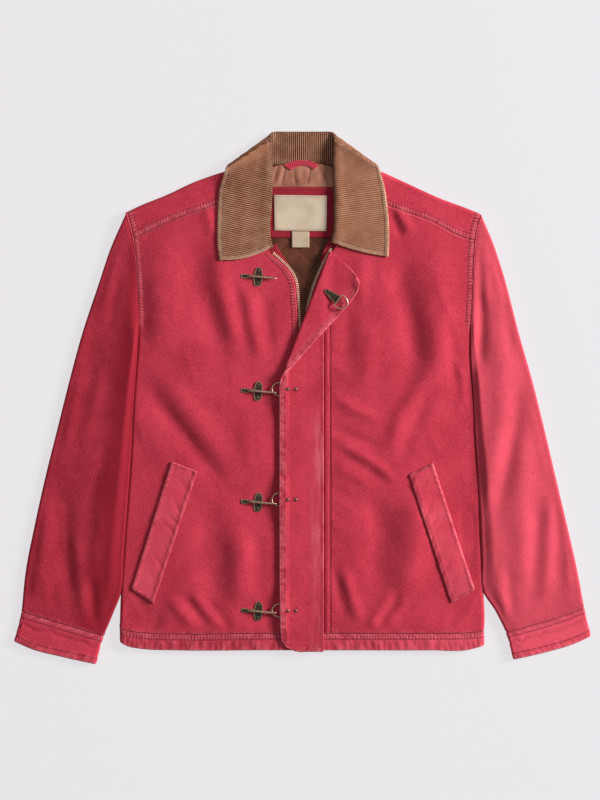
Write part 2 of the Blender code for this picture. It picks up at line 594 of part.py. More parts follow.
def collar_section(neck, crease, edge, turn, bow):
    """Middle line of the collar at one section: neck edge, stand, crease, fall and free edge."""
    front_share = (1 + math.cos(turn)) / 2
    neck, crease, edge = (np.array(point) * MM for point in (neck, crease, edge))
    toward = unit(crease - neck)
    away = np.array((-toward[1], toward[0])) * (1 if crease[0] < 0 else -1)
    apart = np.array((*(away * math.sin(turn)), math.cos(turn)))

    def level(front, back):
        return back + (front - back) * front_share

    neck_top = float(body_top(*neck))
    neck_z = level(neck_top - BODY_WALL / 2, float(lift(*neck)) + BODY_WALL / 2)
    crease_z = level(neck_top - BODY_WALL / 2 + STAND_RISE, COLLAR_WALL / 2 + CREASE_HALF_GAP + 0.2 * MM)
    edge_z = level(float(body_top(*edge)) + PANEL_REST + COLLAR_WALL / 2, COLLAR_WALL / 2)
    tip = np.array((*crease, crease_z))
    ahead = np.array((*toward, 0.0))
    start, end = np.array((*neck, neck_z)), np.array((*edge, edge_z))
    bend = [tip - ahead * CREASE_HALF_GAP * (1 - math.cos(a)) + apart * CREASE_HALF_GAP * math.sin(a)
            for a in np.radians((-90, -45, 0, 45, 90))]
    stand = [start + (bend[0] - start) * share for share in (0.0, 0.5)]
    fall = []
    for share in (0.22, 0.45, 0.7, 0.88, 1.0):
        point = bend[-1] + (end - bend[-1]) * share
        point[1] += bow * MM * math.sin(math.pi * share)
        if turn < 1:
            clear = float(body_top(point[0], point[1])) + PANEL_REST + COLLAR_WALL / 2
            point[2] = max(point[2], clear)
        fall.append(point)
    return np.array(stand + bend + fall)


def collar_middle():
    """Middle surface of the collar, a row for each section from the right front end to the left one."""
    sections = []
    for row in COLLAR_FRONT_RIGHT:
        sections.append(collar_section(row[0:2], row[2:4], row[4:6], 0.0, row[6]))
    for turn, *places in COLLAR_BACK:
        sections.append(collar_section(places[0:2], places[2:4], places[4:6], math.radians(turn), 0))
    for turn, *places in reversed(COLLAR_BACK):
        mirrored = [(-places[i], places[i + 1]) for i in (0, 2, 4)]
        sections.append(collar_section(*mirrored, math.radians(turn), 0))
    for row in reversed(COLLAR_FRONT_LEFT):
        sections.append(collar_section(row[0:2], row[2:4], row[4:6], 0.0, row[6]))
    return np.array(sections)


def surface_normals(points):
    """Unit normals of a grid of points."""
    along = np.gradient(points, axis=0)
    across = np.gradient(points, axis=1)
    return unit(np.cross(across, along))


def build_collar():
    """Corduroy collar: stand and fall in one wall, folded at the crease, its fall passing under the back."""
    middle = collar_middle()
    normals = surface_normals(middle)
    wall("collar", middle + normals * COLLAR_WALL / 2, middle - normals * COLLAR_WALL / 2, TAN_CORDUROY)


# ---------------------------------------------------------------- storm flap

def flap_gap(x):
    """Gap under the flap at a place across it."""
    xs, gaps = zip(*FLAP_GAPS)
    return np.interp(x, np.array(xs) * MM, np.array(gaps) * MM)


def flap_point(x, y, offset):
    """A point of the flap from its flat pattern, turned back beyond the fold line, offset from its middle."""
    head, foot = np.array(FLAP_FOLD_TOP) * MM, np.array(FLAP_FOLD_FOOT) * MM
    along = (foot - head) / np.linalg.norm(foot - head)
    beyond_way = np.array((along[1], -along[0]))
    beyond = float(np.dot((x - head[0], y - head[1]), beyond_way))
    line = np.array((x, y)) - beyond_way * beyond
    radius = FLAP_FOLD_RADIUS
    if beyond <= 0:
        plane, rise, normal = np.array((x, y)), 0.0, (0.0, 1.0)
    elif beyond < math.pi * radius:
        angle = beyond / radius
        plane = line + beyond_way * radius * math.sin(angle)
        rise = radius * (1 - math.cos(angle))
        normal = (-math.sin(angle), math.cos(angle))
    else:
        back = beyond - math.pi * radius
        plane = line - beyond_way * back
        droop = FLAP_DROOP * float(smoothstep((plane[0] - 26 * MM) / (22 * MM)))
        rise = 2 * radius - droop
        normal = (0.0, -1.0)
    anchor = plane if beyond <= 0 else line - beyond_way * max(0.0, beyond - math.pi * radius)
    ground = float(body_top(anchor[0], anchor[1])) + float(flap_gap(anchor[0])) + FLAP_WALL / 2
    plane = plane + beyond_way * normal[0] * offset
    return (plane[0], plane[1], ground + rise + normal[1] * offset)


def flap_breaks(attached, free):
    """Fractions across a flap row, with points close together round the fold where the row crosses it."""
    head, foot = np.array(FLAP_FOLD_TOP) * MM, np.array(FLAP_FOLD_FOOT) * MM
    along = (foot - head) / np.linalg.norm(foot - head)
    beyond_way = np.array((along[1], -along[0]))
    start, end = np.dot(attached - head, beyond_way), np.dot(free - head, beyond_way)
    turn = math.pi * FLAP_FOLD_RADIUS
    if end < 1.6 * turn:
        return np.linspace(0, 1, 12)
    crossing, after = -start / (end - start), (turn - start) / (end - start)
    before = np.linspace(0, crossing, 3)
    round_fold = np.linspace(crossing, after, 5)[1:]
    return np.concatenate((before, round_fold, np.linspace(after, 1, 6)[1:]))


def build_flap():
    """Storm flap over the zip, its top corner turned back on the left front."""
    rows = np.array(FLAP_ROWS) * MM
    surfaces = {1: [], -1: []}
    for attached_x, attached_y, free_x, free_y in rows:
        attached, free = np.array((attached_x, attached_y)), np.array((free_x, free_y))
        steps = flap_breaks(attached, free)
        for offset_sign, surface in surfaces.items():
            line = [flap_point(*(attached + (free - attached) * s), offset_sign * FLAP_WALL / 2) for s in steps]
            surface.append(line)
    wall("front_flap", np.array(surfaces[1]), np.array(surfaces[-1]), RED_CANVAS)


def flap_top(x, y):
    """Height of the flap's upper side where it isn't turned back."""
    return float(body_top(x, y)) + float(flap_gap(x)) + FLAP_WALL


# ---------------------------------------------------------------- pieces that lie on panels

def build_welt(corners, name):
    """Pocket welt lying on a front."""
    outer_top, inner_top, inner_foot, outer_foot = corners
    grid = patch([outer_top, inner_top], [outer_foot, inner_foot], [outer_top, outer_foot], [inner_top, inner_foot],
                 np.linspace(0, 1, 5), np.linspace(0, 1, 13))
    base = body_top(grid[..., 0], grid[..., 1]) + PANEL_REST + REST / 2
    wall(name, lay(grid, base + WELT_WALL), lay(grid, base), RED_CANVAS)


def front_under(x, y):
    """Height of a front's inner side."""
    return body_top(x, y) - BODY_WALL


def build_edge_strip(side, name, inner_reach, outer_reach, depth, first_y, rows):
    """Strip along a front's open edge, below its inner side: a zip tape or a facing."""
    edge = smooth_line(of_side(FRONT_EDGES, side), np.linspace(0, 1, 60))
    edge = edge[edge[:, 1] > first_y * MM]
    edge = smooth_line(edge / MM, np.linspace(0, 1, rows))
    way = unit(np.gradient(edge, axis=0))
    inward = np.stack((-way[:, 1], way[:, 0]), axis=1) * (1 if side > 0 else -1) * -1
    grid = np.stack([edge + inward * reach * MM for reach in (-outer_reach, 0.0, inner_reach)], axis=1)
    near = np.broadcast_to(edge[:, None], grid.shape)
    high = front_under(near[..., 0], near[..., 1]) - depth
    wall(name, lay(grid, high), lay(grid, high - TRIM_WALL), RED_CANVAS)


def build_sheet(name, foot, head, columns, rows, base_gap, width, finish):
    """Flat sheet lying on the back's inner side, between a foot line and a head line."""
    grid = patch(foot, head, [foot[0], head[0]], [foot[-1], head[-1]], np.linspace(0, 1, columns),
                 np.linspace(0, 1, rows))
    base = lift(grid[..., 0], grid[..., 1]) + BODY_WALL + base_gap
    wall(name, lay(grid, base + width), lay(grid, base), finish)


def build_neck_inside():
    """Linings, facing, label, size tag and hanger loop that show inside the neck."""
    build_sheet("neck_lining", [(-58, 315.3), (58, 315.3)], [(-54, 336), (-42, 341.5), (0, 346.5), (42, 341.5), (54, 336)],
                13, 4, NECK_REST, LINING_WALL, TAN_LINING)
    build_sheet("neck_facing", [(-57, 240), (57, 240)], [(-58, 315), (58, 315)], 9, 12, NECK_REST, LINING_WALL, RED_CANVAS)
    build_sheet("back_lining", [(-22, 84), (22, 84)], [(-57, 239.7), (57, 239.7)], 7, 9, REST, LINING_WALL,
                BROWN_LINING)
    label_gap = NECK_REST + LINING_WALL + PANEL_REST
    build_sheet("neck_label", [(-42, 250.5), (36, 249.5)], [(-43, 303.5), (36.5, 302.5)], 4, 7, label_gap,
                TRIM_WALL, CREAM_LABEL)
    build_sheet("size_tag", [(-16, 225), (10, 225)], [(-16, 249.2), (10, 249)], 3, 4, label_gap, TRIM_WALL, CREAM_LABEL)
    loop_low = [(-17, 340), (-8, 345.5), (2, 347), (10, 345.5), (16, 341.5)]
    loop_high = [(-30, 348.5), (-17, 353.5), (-1, 355.5), (14, 353.5), (25, 348.5)]
    grid = patch(loop_low, loop_high, [loop_low[0], loop_high[0]], [loop_low[-1], loop_high[-1]],
                 np.linspace(0, 1, 9), np.linspace(0, 1, 3))
    base = lift(grid[..., 0], grid[..., 1]) + BODY_WALL + NECK_REST + LINING_WALL + REST
    wall("hanger_loop", lay(grid, base + LINING_WALL), lay(grid, base), RED_CANVAS)


# ---------------------------------------------------------------- metal

def set_down(made, place, angle):
    """Put an object at a place, turned about Z."""
    made.location = place
    made.rotation_euler = (0.0, 0.0, angle)
    return made


def wire(name, points, radius, closed):
    """Round wire through points, as a curve."""
    curve = bpy.data.curves.new(name, "CURVE")
    curve.dimensions = "3D"
    curve.bevel_depth = radius
    curve.bevel_resolution = 2
    curve.use_fill_caps = not closed
    spline = curve.splines.new("POLY")
    spline.points.add(len(points) - 1)
    for control, point in zip(spline.points, points):
        control.co = (*point, 1.0)
    spline.use_cyclic_u = closed
    curve.materials.append(material(OLD_BRASS))
    made = bpy.data.objects.new(name, curve)
    bpy.data.collections["work_jacket"].objects.link(made)
    return made


def plate_of(outline, extrude):
    """Flat plate from an outline of space points, extruded by a vector."""
    bm = bmesh.new()
    face = bm.faces.new([bm.verts.new(point) for point in outline])
    raised = bmesh.ops.extrude_face_region(bm, geom=[face])
    verts = [item for item in raised["geom"] if isinstance(item, bmesh.types.BMVert)]
    bmesh.ops.translate(bm, vec=extrude, verts=verts)
    return bm


def highest_under(points):
    """Highest point of the fronts below some plane points."""
    points = np.array(points)
    return float(np.max(body_top(points[:, 0], points[:, 1])))


def turned(points, angle, place_xy):
    """Plane points turned about Z and moved to a place (millimetres in, metres out)."""
    points = np.array(points, dtype=float) * MM
    turn = np.array(((math.cos(angle), math.sin(angle)), (-math.sin(angle), math.cos(angle))))
    return points @ turn + np.array(place_xy) * MM


def build_clasp(number, place_y):
    """One clasp: a plate of three lobes, a hook and the spring tongue over it."""
    base = highest_under(turned(CLASP_OUTLINE, CLASP_TILT, (CLASP_X, place_y))) + REST
    seat = (CLASP_X * MM, place_y * MM, base)
    bm = plate_of([(x * MM, y * MM, 0.0) for x, y in CLASP_OUTLINE], (0, 0, PLATE_THICKNESS))
    set_down(place(bm, f"clasp_{number}_plate", OLD_BRASS), seat, CLASP_TILT)
    for kind, route, radius in (("tongue", TONGUE_ROUTE, TONGUE_RADIUS), ("hook", HOOK_ROUTE, HOOK_RADIUS)):
        points = np.array(route) * MM
        points[:, 2] = np.maximum(points[:, 2] + REST, PLATE_THICKNESS + REST + radius)
        set_down(wire(f"clasp_{number}_{kind}", points, radius, closed=False), seat, CLASP_TILT)


def ring_bow():
    """Centre line of a D-ring round its bar's middle: the bar along Y, the bow towards +X."""
    bow = [(RING_DEPTH * math.cos(a) ** 0.8, RING_BAR / 2 * math.sin(a), 0.0)
           for a in np.linspace(-math.pi / 2, math.pi / 2, 15)]
    return [(max(x, 0.0), y, z) for x, y, z in bow]


def curl_plate():
    """Plate that curls round the bar of a ring, its tail towards -X, on Z = 0."""
    inner_radius = WIRE_RADIUS + CURL_CLEARANCE
    outer_radius = inner_radius + RING_PLATE_THICKNESS
    angles = np.radians(np.linspace(-90, 200, 11))
    outer = [(outer_radius * math.cos(a), outer_radius * (1 + math.sin(a))) for a in angles]
    inner = [(inner_radius * math.cos(a), outer_radius + inner_radius * math.sin(a)) for a in angles[::-1]]
    middle = -RING_PLATE_LENGTH / 2
    tail = [(-RING_PLATE_LENGTH, 0.0), (middle, 0.0)]
    tail_up = [(middle, RING_PLATE_THICKNESS), (-RING_PLATE_LENGTH, RING_PLATE_THICKNESS)]
    profile = [(x, -1.0, z) for x, z in tail + outer + inner + tail_up]
    bm = plate_of(profile, (0, 2.0, 0))
    for vert in bm.verts:
        share = float(smoothstep(-vert.co.x / (0.45 * RING_PLATE_LENGTH)))
        vert.co.y *= CURL_HALF_WIDTH + (TAIL_HALF_WIDTH - CURL_HALF_WIDTH) * share
    return bm


def build_ring(number, place_xy, angle, base, rivet_base):
    """D-ring, the plate whose curl holds its bar, and the two rivets through the plate."""
    seat = (place_xy[0] * MM, place_xy[1] * MM, base)
    bar_height = WIRE_RADIUS + CURL_CLEARANCE + RING_PLATE_THICKNESS
    set_down(wire(f"ring_{number}", ring_bow(), WIRE_RADIUS, closed=True), (*seat[:2], base + bar_height), angle)
    set_down(place(curl_plate(), f"ring_plate_{number}", OLD_BRASS), seat, angle)
    for letter, offset in zip("ab", RIVET_OFFSETS):
        x, y = turned([(-offset, 0)], angle, place_xy)[0]
        bm = bmesh.new()
        bmesh.ops.create_uvsphere(bm, u_segments=8, v_segments=6, radius=RIVET_RADIUS)
        bmesh.ops.bisect_plane(bm, geom=bm.verts[:] + bm.edges[:] + bm.faces[:], plane_co=(0, 0, 0),
                               plane_no=(0, 0, 1), clear_inner=True, dist=1e-7)
        bmesh.ops.holes_fill(bm, edges=[edge for edge in bm.edges if edge.is_boundary])
        bmesh.ops.scale(bm, vec=(1.0, 1.0, RIVET_HEIGHT / RIVET_RADIUS), verts=bm.verts)
        set_down(place(bm, f"rivet_{number}{letter}", OLD_BRASS), (x, y, rivet_base(x, y)), angle)


def build_metal():
    """The four clasps, the three hooked rings under the flap and the open one on its turned corner."""
    for number, place_y in enumerate(CLASP_YS, start=1):
        build_clasp(number, place_y)
    for number, place_y in enumerate(RING_YS, start=2):
        spots = turned([(x, dy) for x in (0, 8, 16, 24) for dy in (-8, 0, 8)], 0.0, (RING_X, place_y))
        base = highest_under(spots) + REST

        def on_flap(x, y):
            around = [flap_top(x + dx, y) for dx in (-RIVET_RADIUS, 0.0, RIVET_RADIUS)]
            return max(around) + REST / 2
        build_ring(number, (RING_X, place_y), math.pi, base, on_flap)
    ring_x, ring_y = OPEN_RING_PLACE
    spots = turned([(x, dy) for x in (-24, -16, -8, 0) for dy in (-6, 0, 6)], OPEN_RING_ANGLE, (ring_x, ring_y))
    flap_rise = FLAP_WALL + 2 * FLAP_FOLD_RADIUS
    heights = [float(body_top(x, y)) + float(flap_gap(x)) + flap_rise
               - FLAP_DROOP * float(smoothstep((x - 26 * MM) / (22 * MM))) for x, y in spots]
    base = max(heights) + REST
    plate_top = base + RING_PLATE_THICKNESS + REST / 2
    build_ring(1, (ring_x, ring_y), OPEN_RING_ANGLE, base, lambda x, y: plate_top)


# ---------------------------------------------------------------- the whole jacket

def build_jacket():
    """Every piece of the jacket."""
    for side, word in ((-1, "right"), (1, "left")):
        build_front(side, f"front_{word}")
        build_front_hem(side, f"hem_{word}")
        build_shoulder(side, f"shoulder_{word}")
        build_sleeve(side, f"sleeve_{word}")
        build_cuff(side, f"cuff_{word}")
        build_edge_strip(side, f"zip_tape_{word}", 2.5, 8.0, PANEL_REST, -325, 16)
        build_edge_strip(side, f"facing_{word}", 7.5, 6.0, PANEL_REST + REST + TRIM_WALL, 100, 9)
    build_back()
    build_back_hem()
    build_collar()
    build_flap()
    build_welt(WELT_RIGHT, "pocket_welt_right")
    build_welt(WELT_LEFT, "pocket_welt_left")
    build_neck_inside()
    build_metal()


def main():
    """Clear the scene and model the jacket."""
    for old in list(bpy.data.objects):
        bpy.data.objects.remove(old, do_unlink=True)
    collection = bpy.data.collections.new("work_jacket")
    bpy.context.scene.collection.children.link(collection)
    build_jacket()


main()
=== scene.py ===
"""Looks of a canvas work jacket that lies flat on its back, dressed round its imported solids.

The jacket lies in the XY plane with its collar towards +Y and its front up. Right and left are the
wearer's. Tables give places in millimetres on that plane, and the cloth is laid out from them again at a
finer pitch than the solids have: each piece is a thin shell, worked beside its seams, creased where the
photographed jacket is, and sewn with real stitches.
"""
from __future__ import annotations

import logging
import math
from dataclasses import dataclass, field
from enum import Enum
from typing import Callable, Iterable, Sequence

import bmesh
import bpy
import numpy as np
from mathutils import Matrix, Vector

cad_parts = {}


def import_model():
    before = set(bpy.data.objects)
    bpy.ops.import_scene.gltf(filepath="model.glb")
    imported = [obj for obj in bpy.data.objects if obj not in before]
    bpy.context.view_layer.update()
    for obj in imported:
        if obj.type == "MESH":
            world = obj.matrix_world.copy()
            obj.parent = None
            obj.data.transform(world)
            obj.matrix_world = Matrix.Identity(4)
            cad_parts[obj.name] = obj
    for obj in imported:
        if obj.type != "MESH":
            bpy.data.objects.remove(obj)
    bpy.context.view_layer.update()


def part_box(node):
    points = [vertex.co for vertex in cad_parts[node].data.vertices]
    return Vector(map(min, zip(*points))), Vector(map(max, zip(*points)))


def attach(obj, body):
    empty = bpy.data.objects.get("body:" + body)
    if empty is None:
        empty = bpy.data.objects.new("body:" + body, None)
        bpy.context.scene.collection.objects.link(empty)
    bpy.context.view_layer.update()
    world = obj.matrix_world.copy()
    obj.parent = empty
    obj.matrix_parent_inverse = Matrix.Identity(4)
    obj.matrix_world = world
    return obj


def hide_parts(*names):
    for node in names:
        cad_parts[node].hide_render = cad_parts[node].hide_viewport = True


LOG = logging.getLogger("work_jacket")
MM = 0.001
JACKET = "jacket"
OPEN_RING = "open_ring"

Rows = Sequence[Sequence[float]]
Colour = tuple[float, float, float]
Template = tuple[np.ndarray, list[list[int]]]
HeightOf = Callable[[np.ndarray, np.ndarray, np.ndarray], np.ndarray]


class Wearer(Enum):
    """The wearer's two sides, by the sign of X."""

    RIGHT = -1
    LEFT = 1

    @property
    def word(self) -> str:
        """The side's name, as the nodes have it."""
        return self.name.lower()


class Side(Enum):
    """The four sides of a piece of cloth, as its grid of points has them."""

    FIRST = "first"
    LAST = "last"
    FOOT = "foot"
    HEAD = "head"


class Facing(Enum):
    """Which way the outer side of a piece of cloth looks."""

    UP = 1
    DOWN = -1
    AROUND = 0


# ---------------------------------------------------------------- the jacket's cut

@dataclass(frozen=True)
class Cut:
    """Outlines of the jacket as it lies, in millimetres, and the thickness of its layers, in metres."""

    body_wall: float = 4.0 * MM
    sleeve_wall: float = 3.0 * MM
    collar_wall: float = 2.6 * MM
    flap_wall: float = 2.4 * MM
    welt_wall: float = 2.4 * MM
    trim_wall: float = 0.8 * MM
    lining_wall: float = 1.0 * MM
    air: float = 0.8 * MM
    seam: float = 0.4 * MM
    armhole_seam: float = 0.2 * MM
    rest: float = 0.3 * MM
    panel_rest: float = 0.85 * MM
    neck_rest: float = 1.2 * MM
    edge_radius: float = 5.5 * MM
    sleeve_outer_radius: float = 4.6 * MM
    sleeve_inner_radius: float = 3.7 * MM
    shoulder_underlap: float = 20 * MM
    neck_lift: float = 4.0 * MM
    lift_half_width: float = 116 * MM
    lift_fade: float = 38 * MM
    lift_ahead: float = 6 * MM
    fall_under_y: float = 322 * MM
    fall_under_rise: float = 22 * MM
    # Where the collar's leaves begin to cover the fronts, and over how much they do
    collar_front_y: float = 205
    collar_front_fade: float = 20
    # The underarm, the place where a sleeve leaves the body's edge, and how far it stays off that edge
    underarm_y: float = 118
    sleeve_leaves_body_y: float = -290
    sleeve_tuck: float = -0.9

    # y, x on the right side, x on the left side
    sides: Rows = ((-377, -268, 268), (-345, -274, 272), (-290, -272, 271), (-213, -267, 268),
                   (-138, -261, 265), (-78, -257, 260), (-14, -254, 258), (46, -249.5, 253), (94, -246, 252),
                   (118, -245, 253))
    armholes: Rows = ((118, -245, 253), (142, -245.5, 254), (165, -246.5, 255), (207, -249, 256),
                      (235, -252, 257.5), (256, -256.5, 261), (277, -263, 267))
    # x and y on the right, x and y on the left
    forward_seams: Rows = ((-252.5, 239, 257.5, 236), (-232, 249, 244, 239), (-203, 263, 190, 265),
                           (-167, 276, 146, 281), (-127, 290, 124, 289), (-72, 305, 72, 305))
    shoulder_folds: Rows = ((-263, 278, 267, 275), (-247, 286, 258, 279), (-203, 304, 203, 300),
                            (-160, 324, 146, 326), (-122, 337, 116, 339), (-64, 352, 64, 352))
    front_necks: Rows = ((-72, 305, 72, 305), (-71, 290, 71, 290), (-66, 262, 66, 264), (-58, 236, 58, 243),
                         (-47, 215, 47, 222))
    front_edges: Rows = ((-47, 215, 47, 222), (-29, 199, 38, 206), (-18, 186, 27, 184), (-12, 172, 19, 163),
                         (-10, 153, 14, 145), (-8, 130, 11, 127), (-7, 99, 9, 99), (-7, 0, 9, 0),
                         (-7, -120, 9, -120), (-7, -240, 9, -240), (-7, -353, 9, -353))
    # x, y of the hem seam, y of the hem edge
    hem: Rows = ((-274, -345, -366), (-262, -349, -372), (-240, -352, -376), (-190, -354, -378),
                 (-60, -353, -378), (60, -353, -378), (190, -353, -378), (250, -352, -377), (272, -350, -371))
    back_neck: Rows = ((-68, 327), (-60, 338), (-44, 345), (-22, 348.5), (0, 349), (22, 348.5), (44, 345),
                       (60, 338), (68, 327))
    # x and y on the right, x and y on the left
    sleeve_outers: Rows = ((-263, 279, 267, 275), (-289, 220, 285, 233), (-304, 175, 297, 198),
                           (-332, 90, 326, 90), (-349, 27, 344, 27), (-367, -45, 362, -45),
                           (-385, -117, 379, -117), (-401, -189, 396, -189), (-415, -261, 411, -255),
                           (-421, -321, 422, -314))
    sleeve_inners: Rows = ((-284, -324, 288, -318), (-298, -357, 305, -351))
    cuff_seams: Rows = ((-421, -321, 422, -314), (-367, -337, 385, -328), (-330, -348, 345, -340),
                        (-298, -357, 305, -351))
    cuff_edges: Rows = ((-432, -365, 432, -357), (-404, -377, 408, -368), (-360, -388, 364, -381),
                        (-310, -399, 316, -392))

    @property
    def body_base(self) -> float:
        """Height of the front's upper side with nothing lofting it."""
        return 2 * self.body_wall + self.air

    @property
    def sleeve_base(self) -> float:
        """Height of a sleeve's upper side with nothing lofting it."""
        return 2 * self.sleeve_wall + self.air


CUT = Cut()

# Soft folds of the solids where the clasps lie: half width, height (negative in a trough), x and y of points
SOLID_FOLDS: Rows = (
    (17, -2.2, -196, 14, -101, -142), (14, -1.4, -92, 95, -74, 30), (12, -1.6, -55, 60, -52, -330),
)

# Places where metal holds the cloth as its solid lies: x, y
HELD: Rows = ((-66, 181), (-66, 10), (-66, -156), (-66, -319), (48, 152))

# Broad folds of the fronts, as SOLID_FOLDS: the right front from the armhole to the zip, then the left one
FOLDS: Rows = (
    (18, 1.8, -216, 268, -212, 170, -212, 90, -203, 50), (19, -1.9, -162, 262, -153, 160, -126, 80, -102, 14),
    (12, 1.7, -132, 246, -124, 170, -108, 110, -96, 50), (9, -1.1, -106, 196, -92, 120, -76, 50),
    (9, 1.4, -84, 180, -76, 110, -58, 44), (8, -0.9, -62, 170, -54, 110, -48, 60),
    (13, 1.4, -242, 76, -196, 12, -142, -58, -92, -128),
    (11, -1.45, -246, 34, -190, -40, -150, -90, -104, -156),
    (13, 1.2, -264, 0, -222, -66, -196, -100), (14, 0.9, -88, -20, -70, -80, -58, -130),
    (18, -2.1, -146, -150, -137, -240, -128, -330), (17, 2.0, -98, -180, -92, -260, -100, -330),
    (6.5, 1.1, -206, -292, -182, -322, -158, -346), (6, -1.0, -184, -288, -160, -318, -140, -344),
    (6.5, 1.0, -166, -290, -140, -322, -118, -347), (6, -0.8, -146, -300, -124, -326, -104, -347),
    (14, -1.7, -266, -302, -236, -330, -206, -348), (10, -1.1, -76, -190, -66, -250, -70, -300),
    (7, 1.2, -150, 288, -136, 262, -132, 236), (12, -1.0, -240, 200, -238, 130, -240, 70),
    (18, 2.4, 197, 246, 203, 160, 206, 80, 196, 20, 180, -44),
    (15, -2.4, 157, 244, 150, 170, 160, 110, 168, 60, 150, -6),
    (9, 1.2, 92, 226, 86, 180, 82, 130), (7, 1.3, 136, 290, 150, 266, 166, 244),
    (6, -0.9, 128, 282, 140, 258, 150, 232),
    (9, 1.3, 204, 54, 168, 10, 146, -30, 124, -96), (8, -1.0, 222, 40, 186, 0, 164, -50, 142, -112),
    (7, 1.3, 42, 2, 80, -18, 124, -40), (6, -1.1, 42, -46, 84, -62, 122, -78),
    (5, 1.1, 42, -60, 96, -90, 146, -128),
    (5.5, -1.0, 42, -76, 92, -104, 136, -138), (6, 0.7, 42, -100, 84, -122, 112, -142),
    (17, -2.3, 110, -128, 112, -230, 102, -308), (17, 2.6, 168, -132, 170, -220, 146, -318),
    (7, -0.8, 42, -244, 56, -292, 68, -340), (7, 1.4, 58, -246, 72, -296, 88, -342),
    (6, 1.2, 96, -347, 116, -318, 138, -284), (5, -0.9, 108, -347, 130, -316, 150, -286),
    (6, 0.9, 120, -347, 142, -320, 162, -292),
    (9, -1.3, 244, -150, 248, -210, 244, -272), (10, -0.8, 70, 150, 66, 90, 64, 40),
    (11, 0.9, 104, 110, 96, 50, 92, 10),
    (6, 0.7, 232, 60, 240, 20, 236, -30), (7, -0.8, 216, 120, 226, 60, 228, 10),
)

# The cloth's own folds are this much deeper and broader than the tables say
FOLD_GAIN = 2.0
FOLD_SPREAD = 1.3

# Finer creases of the fronts
CREASES: Rows = (
    (5, 0.4, -182, 90, -164, 30, -150, 0), (5, -0.4, -206, -10, -176, -50, -150, -84),
    (4, 0.4, -196, 150, -190, 100),
    (5, 0.4, -150, -100, -128, -124, -112, -150), (6, -0.3, -180, 160, -166, 90), (6, 0.4, -112, 60, -98, 10),
    (6, 0.35, -96, -30, -80, -100), (4, -0.35, -74, -20, -66, -120), (6, 0.4, -92, -190, -78, -300),
    (4, 0.4, -90, -326, -84, -350), (5, 0.4, -250, -20, -232, -90), (4, 0.4, -230, -316, -214, -344),
    (4, 0.5, 42, 78, 62, 70), (4, -0.4, 42, 66, 66, 56), (4, 0.5, 42, 48, 74, 34), (4, -0.4, 42, 30, 78, 14),
    (4, 0.4, 42, -122, 80, -140), (4, -0.4, 42, -136, 84, -158), (4, 0.45, 42, -150, 84, -174),
    (4, -0.4, 42, -170, 78, -190),
    (4, 0.4, 42, -190, 78, -208), (4, -0.35, 42, -208, 72, -226), (4, 0.4, 42, -226, 74, -248),
    (4, 0.3, 42, 112, 60, 106),
    (5, 0.4, 110, 200, 130, 150), (6, 0.5, 198, 180, 222, 110), (5, -0.4, 174, 6, 202, 44),
    (6, 0.4, 150, -60, 186, -90),
    (5, 0.4, 186, -40, 206, -90), (7, 0.4, 90, -150, 100, -240), (4, -0.4, 140, -346, 166, -300),
    (5, 0.4, 60, -346, 76, -310), (4, 0.4, 176, -346, 196, -312), (4, 0.5, 224, 70, 240, 20),
    (4, -0.4, 228, 20, 246, -30),
    (5, 0.5, -262, -292, -236, -340), (5, 0.5, 262, -292, 238, -340), (4, -0.4, -250, 100, -222, 70),
    (4, 0.5, 206, -346, 222, -318), (4, -0.4, 214, -346, 232, -320), (4, 0.4, 228, -346, 244, -322),
)

# Folds and creases of the sleeves: first the right one
SLEEVE_FOLDS: Rows = (
    (12, 1.1, -388, -150, -392, -240, -388, -318), (12, -1.6, -360, -120, -356, -220, -344, -330),
    (9, 1.3, -340, -190, -334, -270, -322, -346), (7, -1.2, -318, -260, -314, -310, -308, -350),
    (16, 0.9, -330, 60, -350, -40, -366, -110), (14, -0.8, -306, 120, -322, 20, -340, -60),
    (7, 0.6, -296, 60, -318, -30, -334, -90), (7, -0.5, -290, -60, -312, -140, -330, -200),
    (8, 0.6, -296, -150, -308, -220, -318, -280), (6, 0.5, -402, -250, -404, -300),
    (6, -0.5, -372, -270, -374, -320),
    (10, 0.6, -276, 240, -290, 170, -304, 110), (6, -0.5, -272, 200, -282, 150, -290, 90),
    (7, 1.6, 268, 250, 270, 190, 276, 120), (8, -3.2, 262, 250, 263, 180, 267, 110, 262, 20),
    (14, 2.1, 286, 150, 299, 50, 299, -30, 284, -120, 272, -184),
    (10, -2.0, 322, 30, 318, -40, 303, -110, 282, -204),
    (13, 1.8, 334, -10, 326, -150, 332, -306), (8, -1.0, 352, -140, 348, -230, 342, -312),
    (8, 1.1, 370, -130, 368, -230, 362, -316), (8, -0.8, 388, -120, 386, -220, 382, -306),
    (9, 0.8, 402, -180, 404, -300), (9, 0.9, 284, 226, 296, 160, 306, 90),
    (7, -0.8, 296, 170, 308, 100, 316, 50),
    (8, 0.7, 346, 10, 360, -70, 372, -130), (6, -0.7, 306, -250, 312, -300, 318, -338),
    (6, 0.7, 292, -240, 298, -300, 304, -345),
)


def smoothstep(t: np.ndarray | float) -> np.ndarray:
    """Ease from 0 to 1 as t goes from 0 to 1."""
    t = np.clip(t, 0.0, 1.0)
    return t * t * (3.0 - 2.0 * t)


def ease(value: np.ndarray, start: float, length: float) -> np.ndarray:
    """Ease from 0 to 1 where a value in metres goes from a start on over a length, both in millimetres."""
    return smoothstep((value - start * MM) / (length * MM))


def bell(away: np.ndarray, half_width: float) -> np.ndarray:
    """One in the middle of a soft line, and nothing a few half widths away from it."""
    return np.exp(-(away / half_width) ** 2)


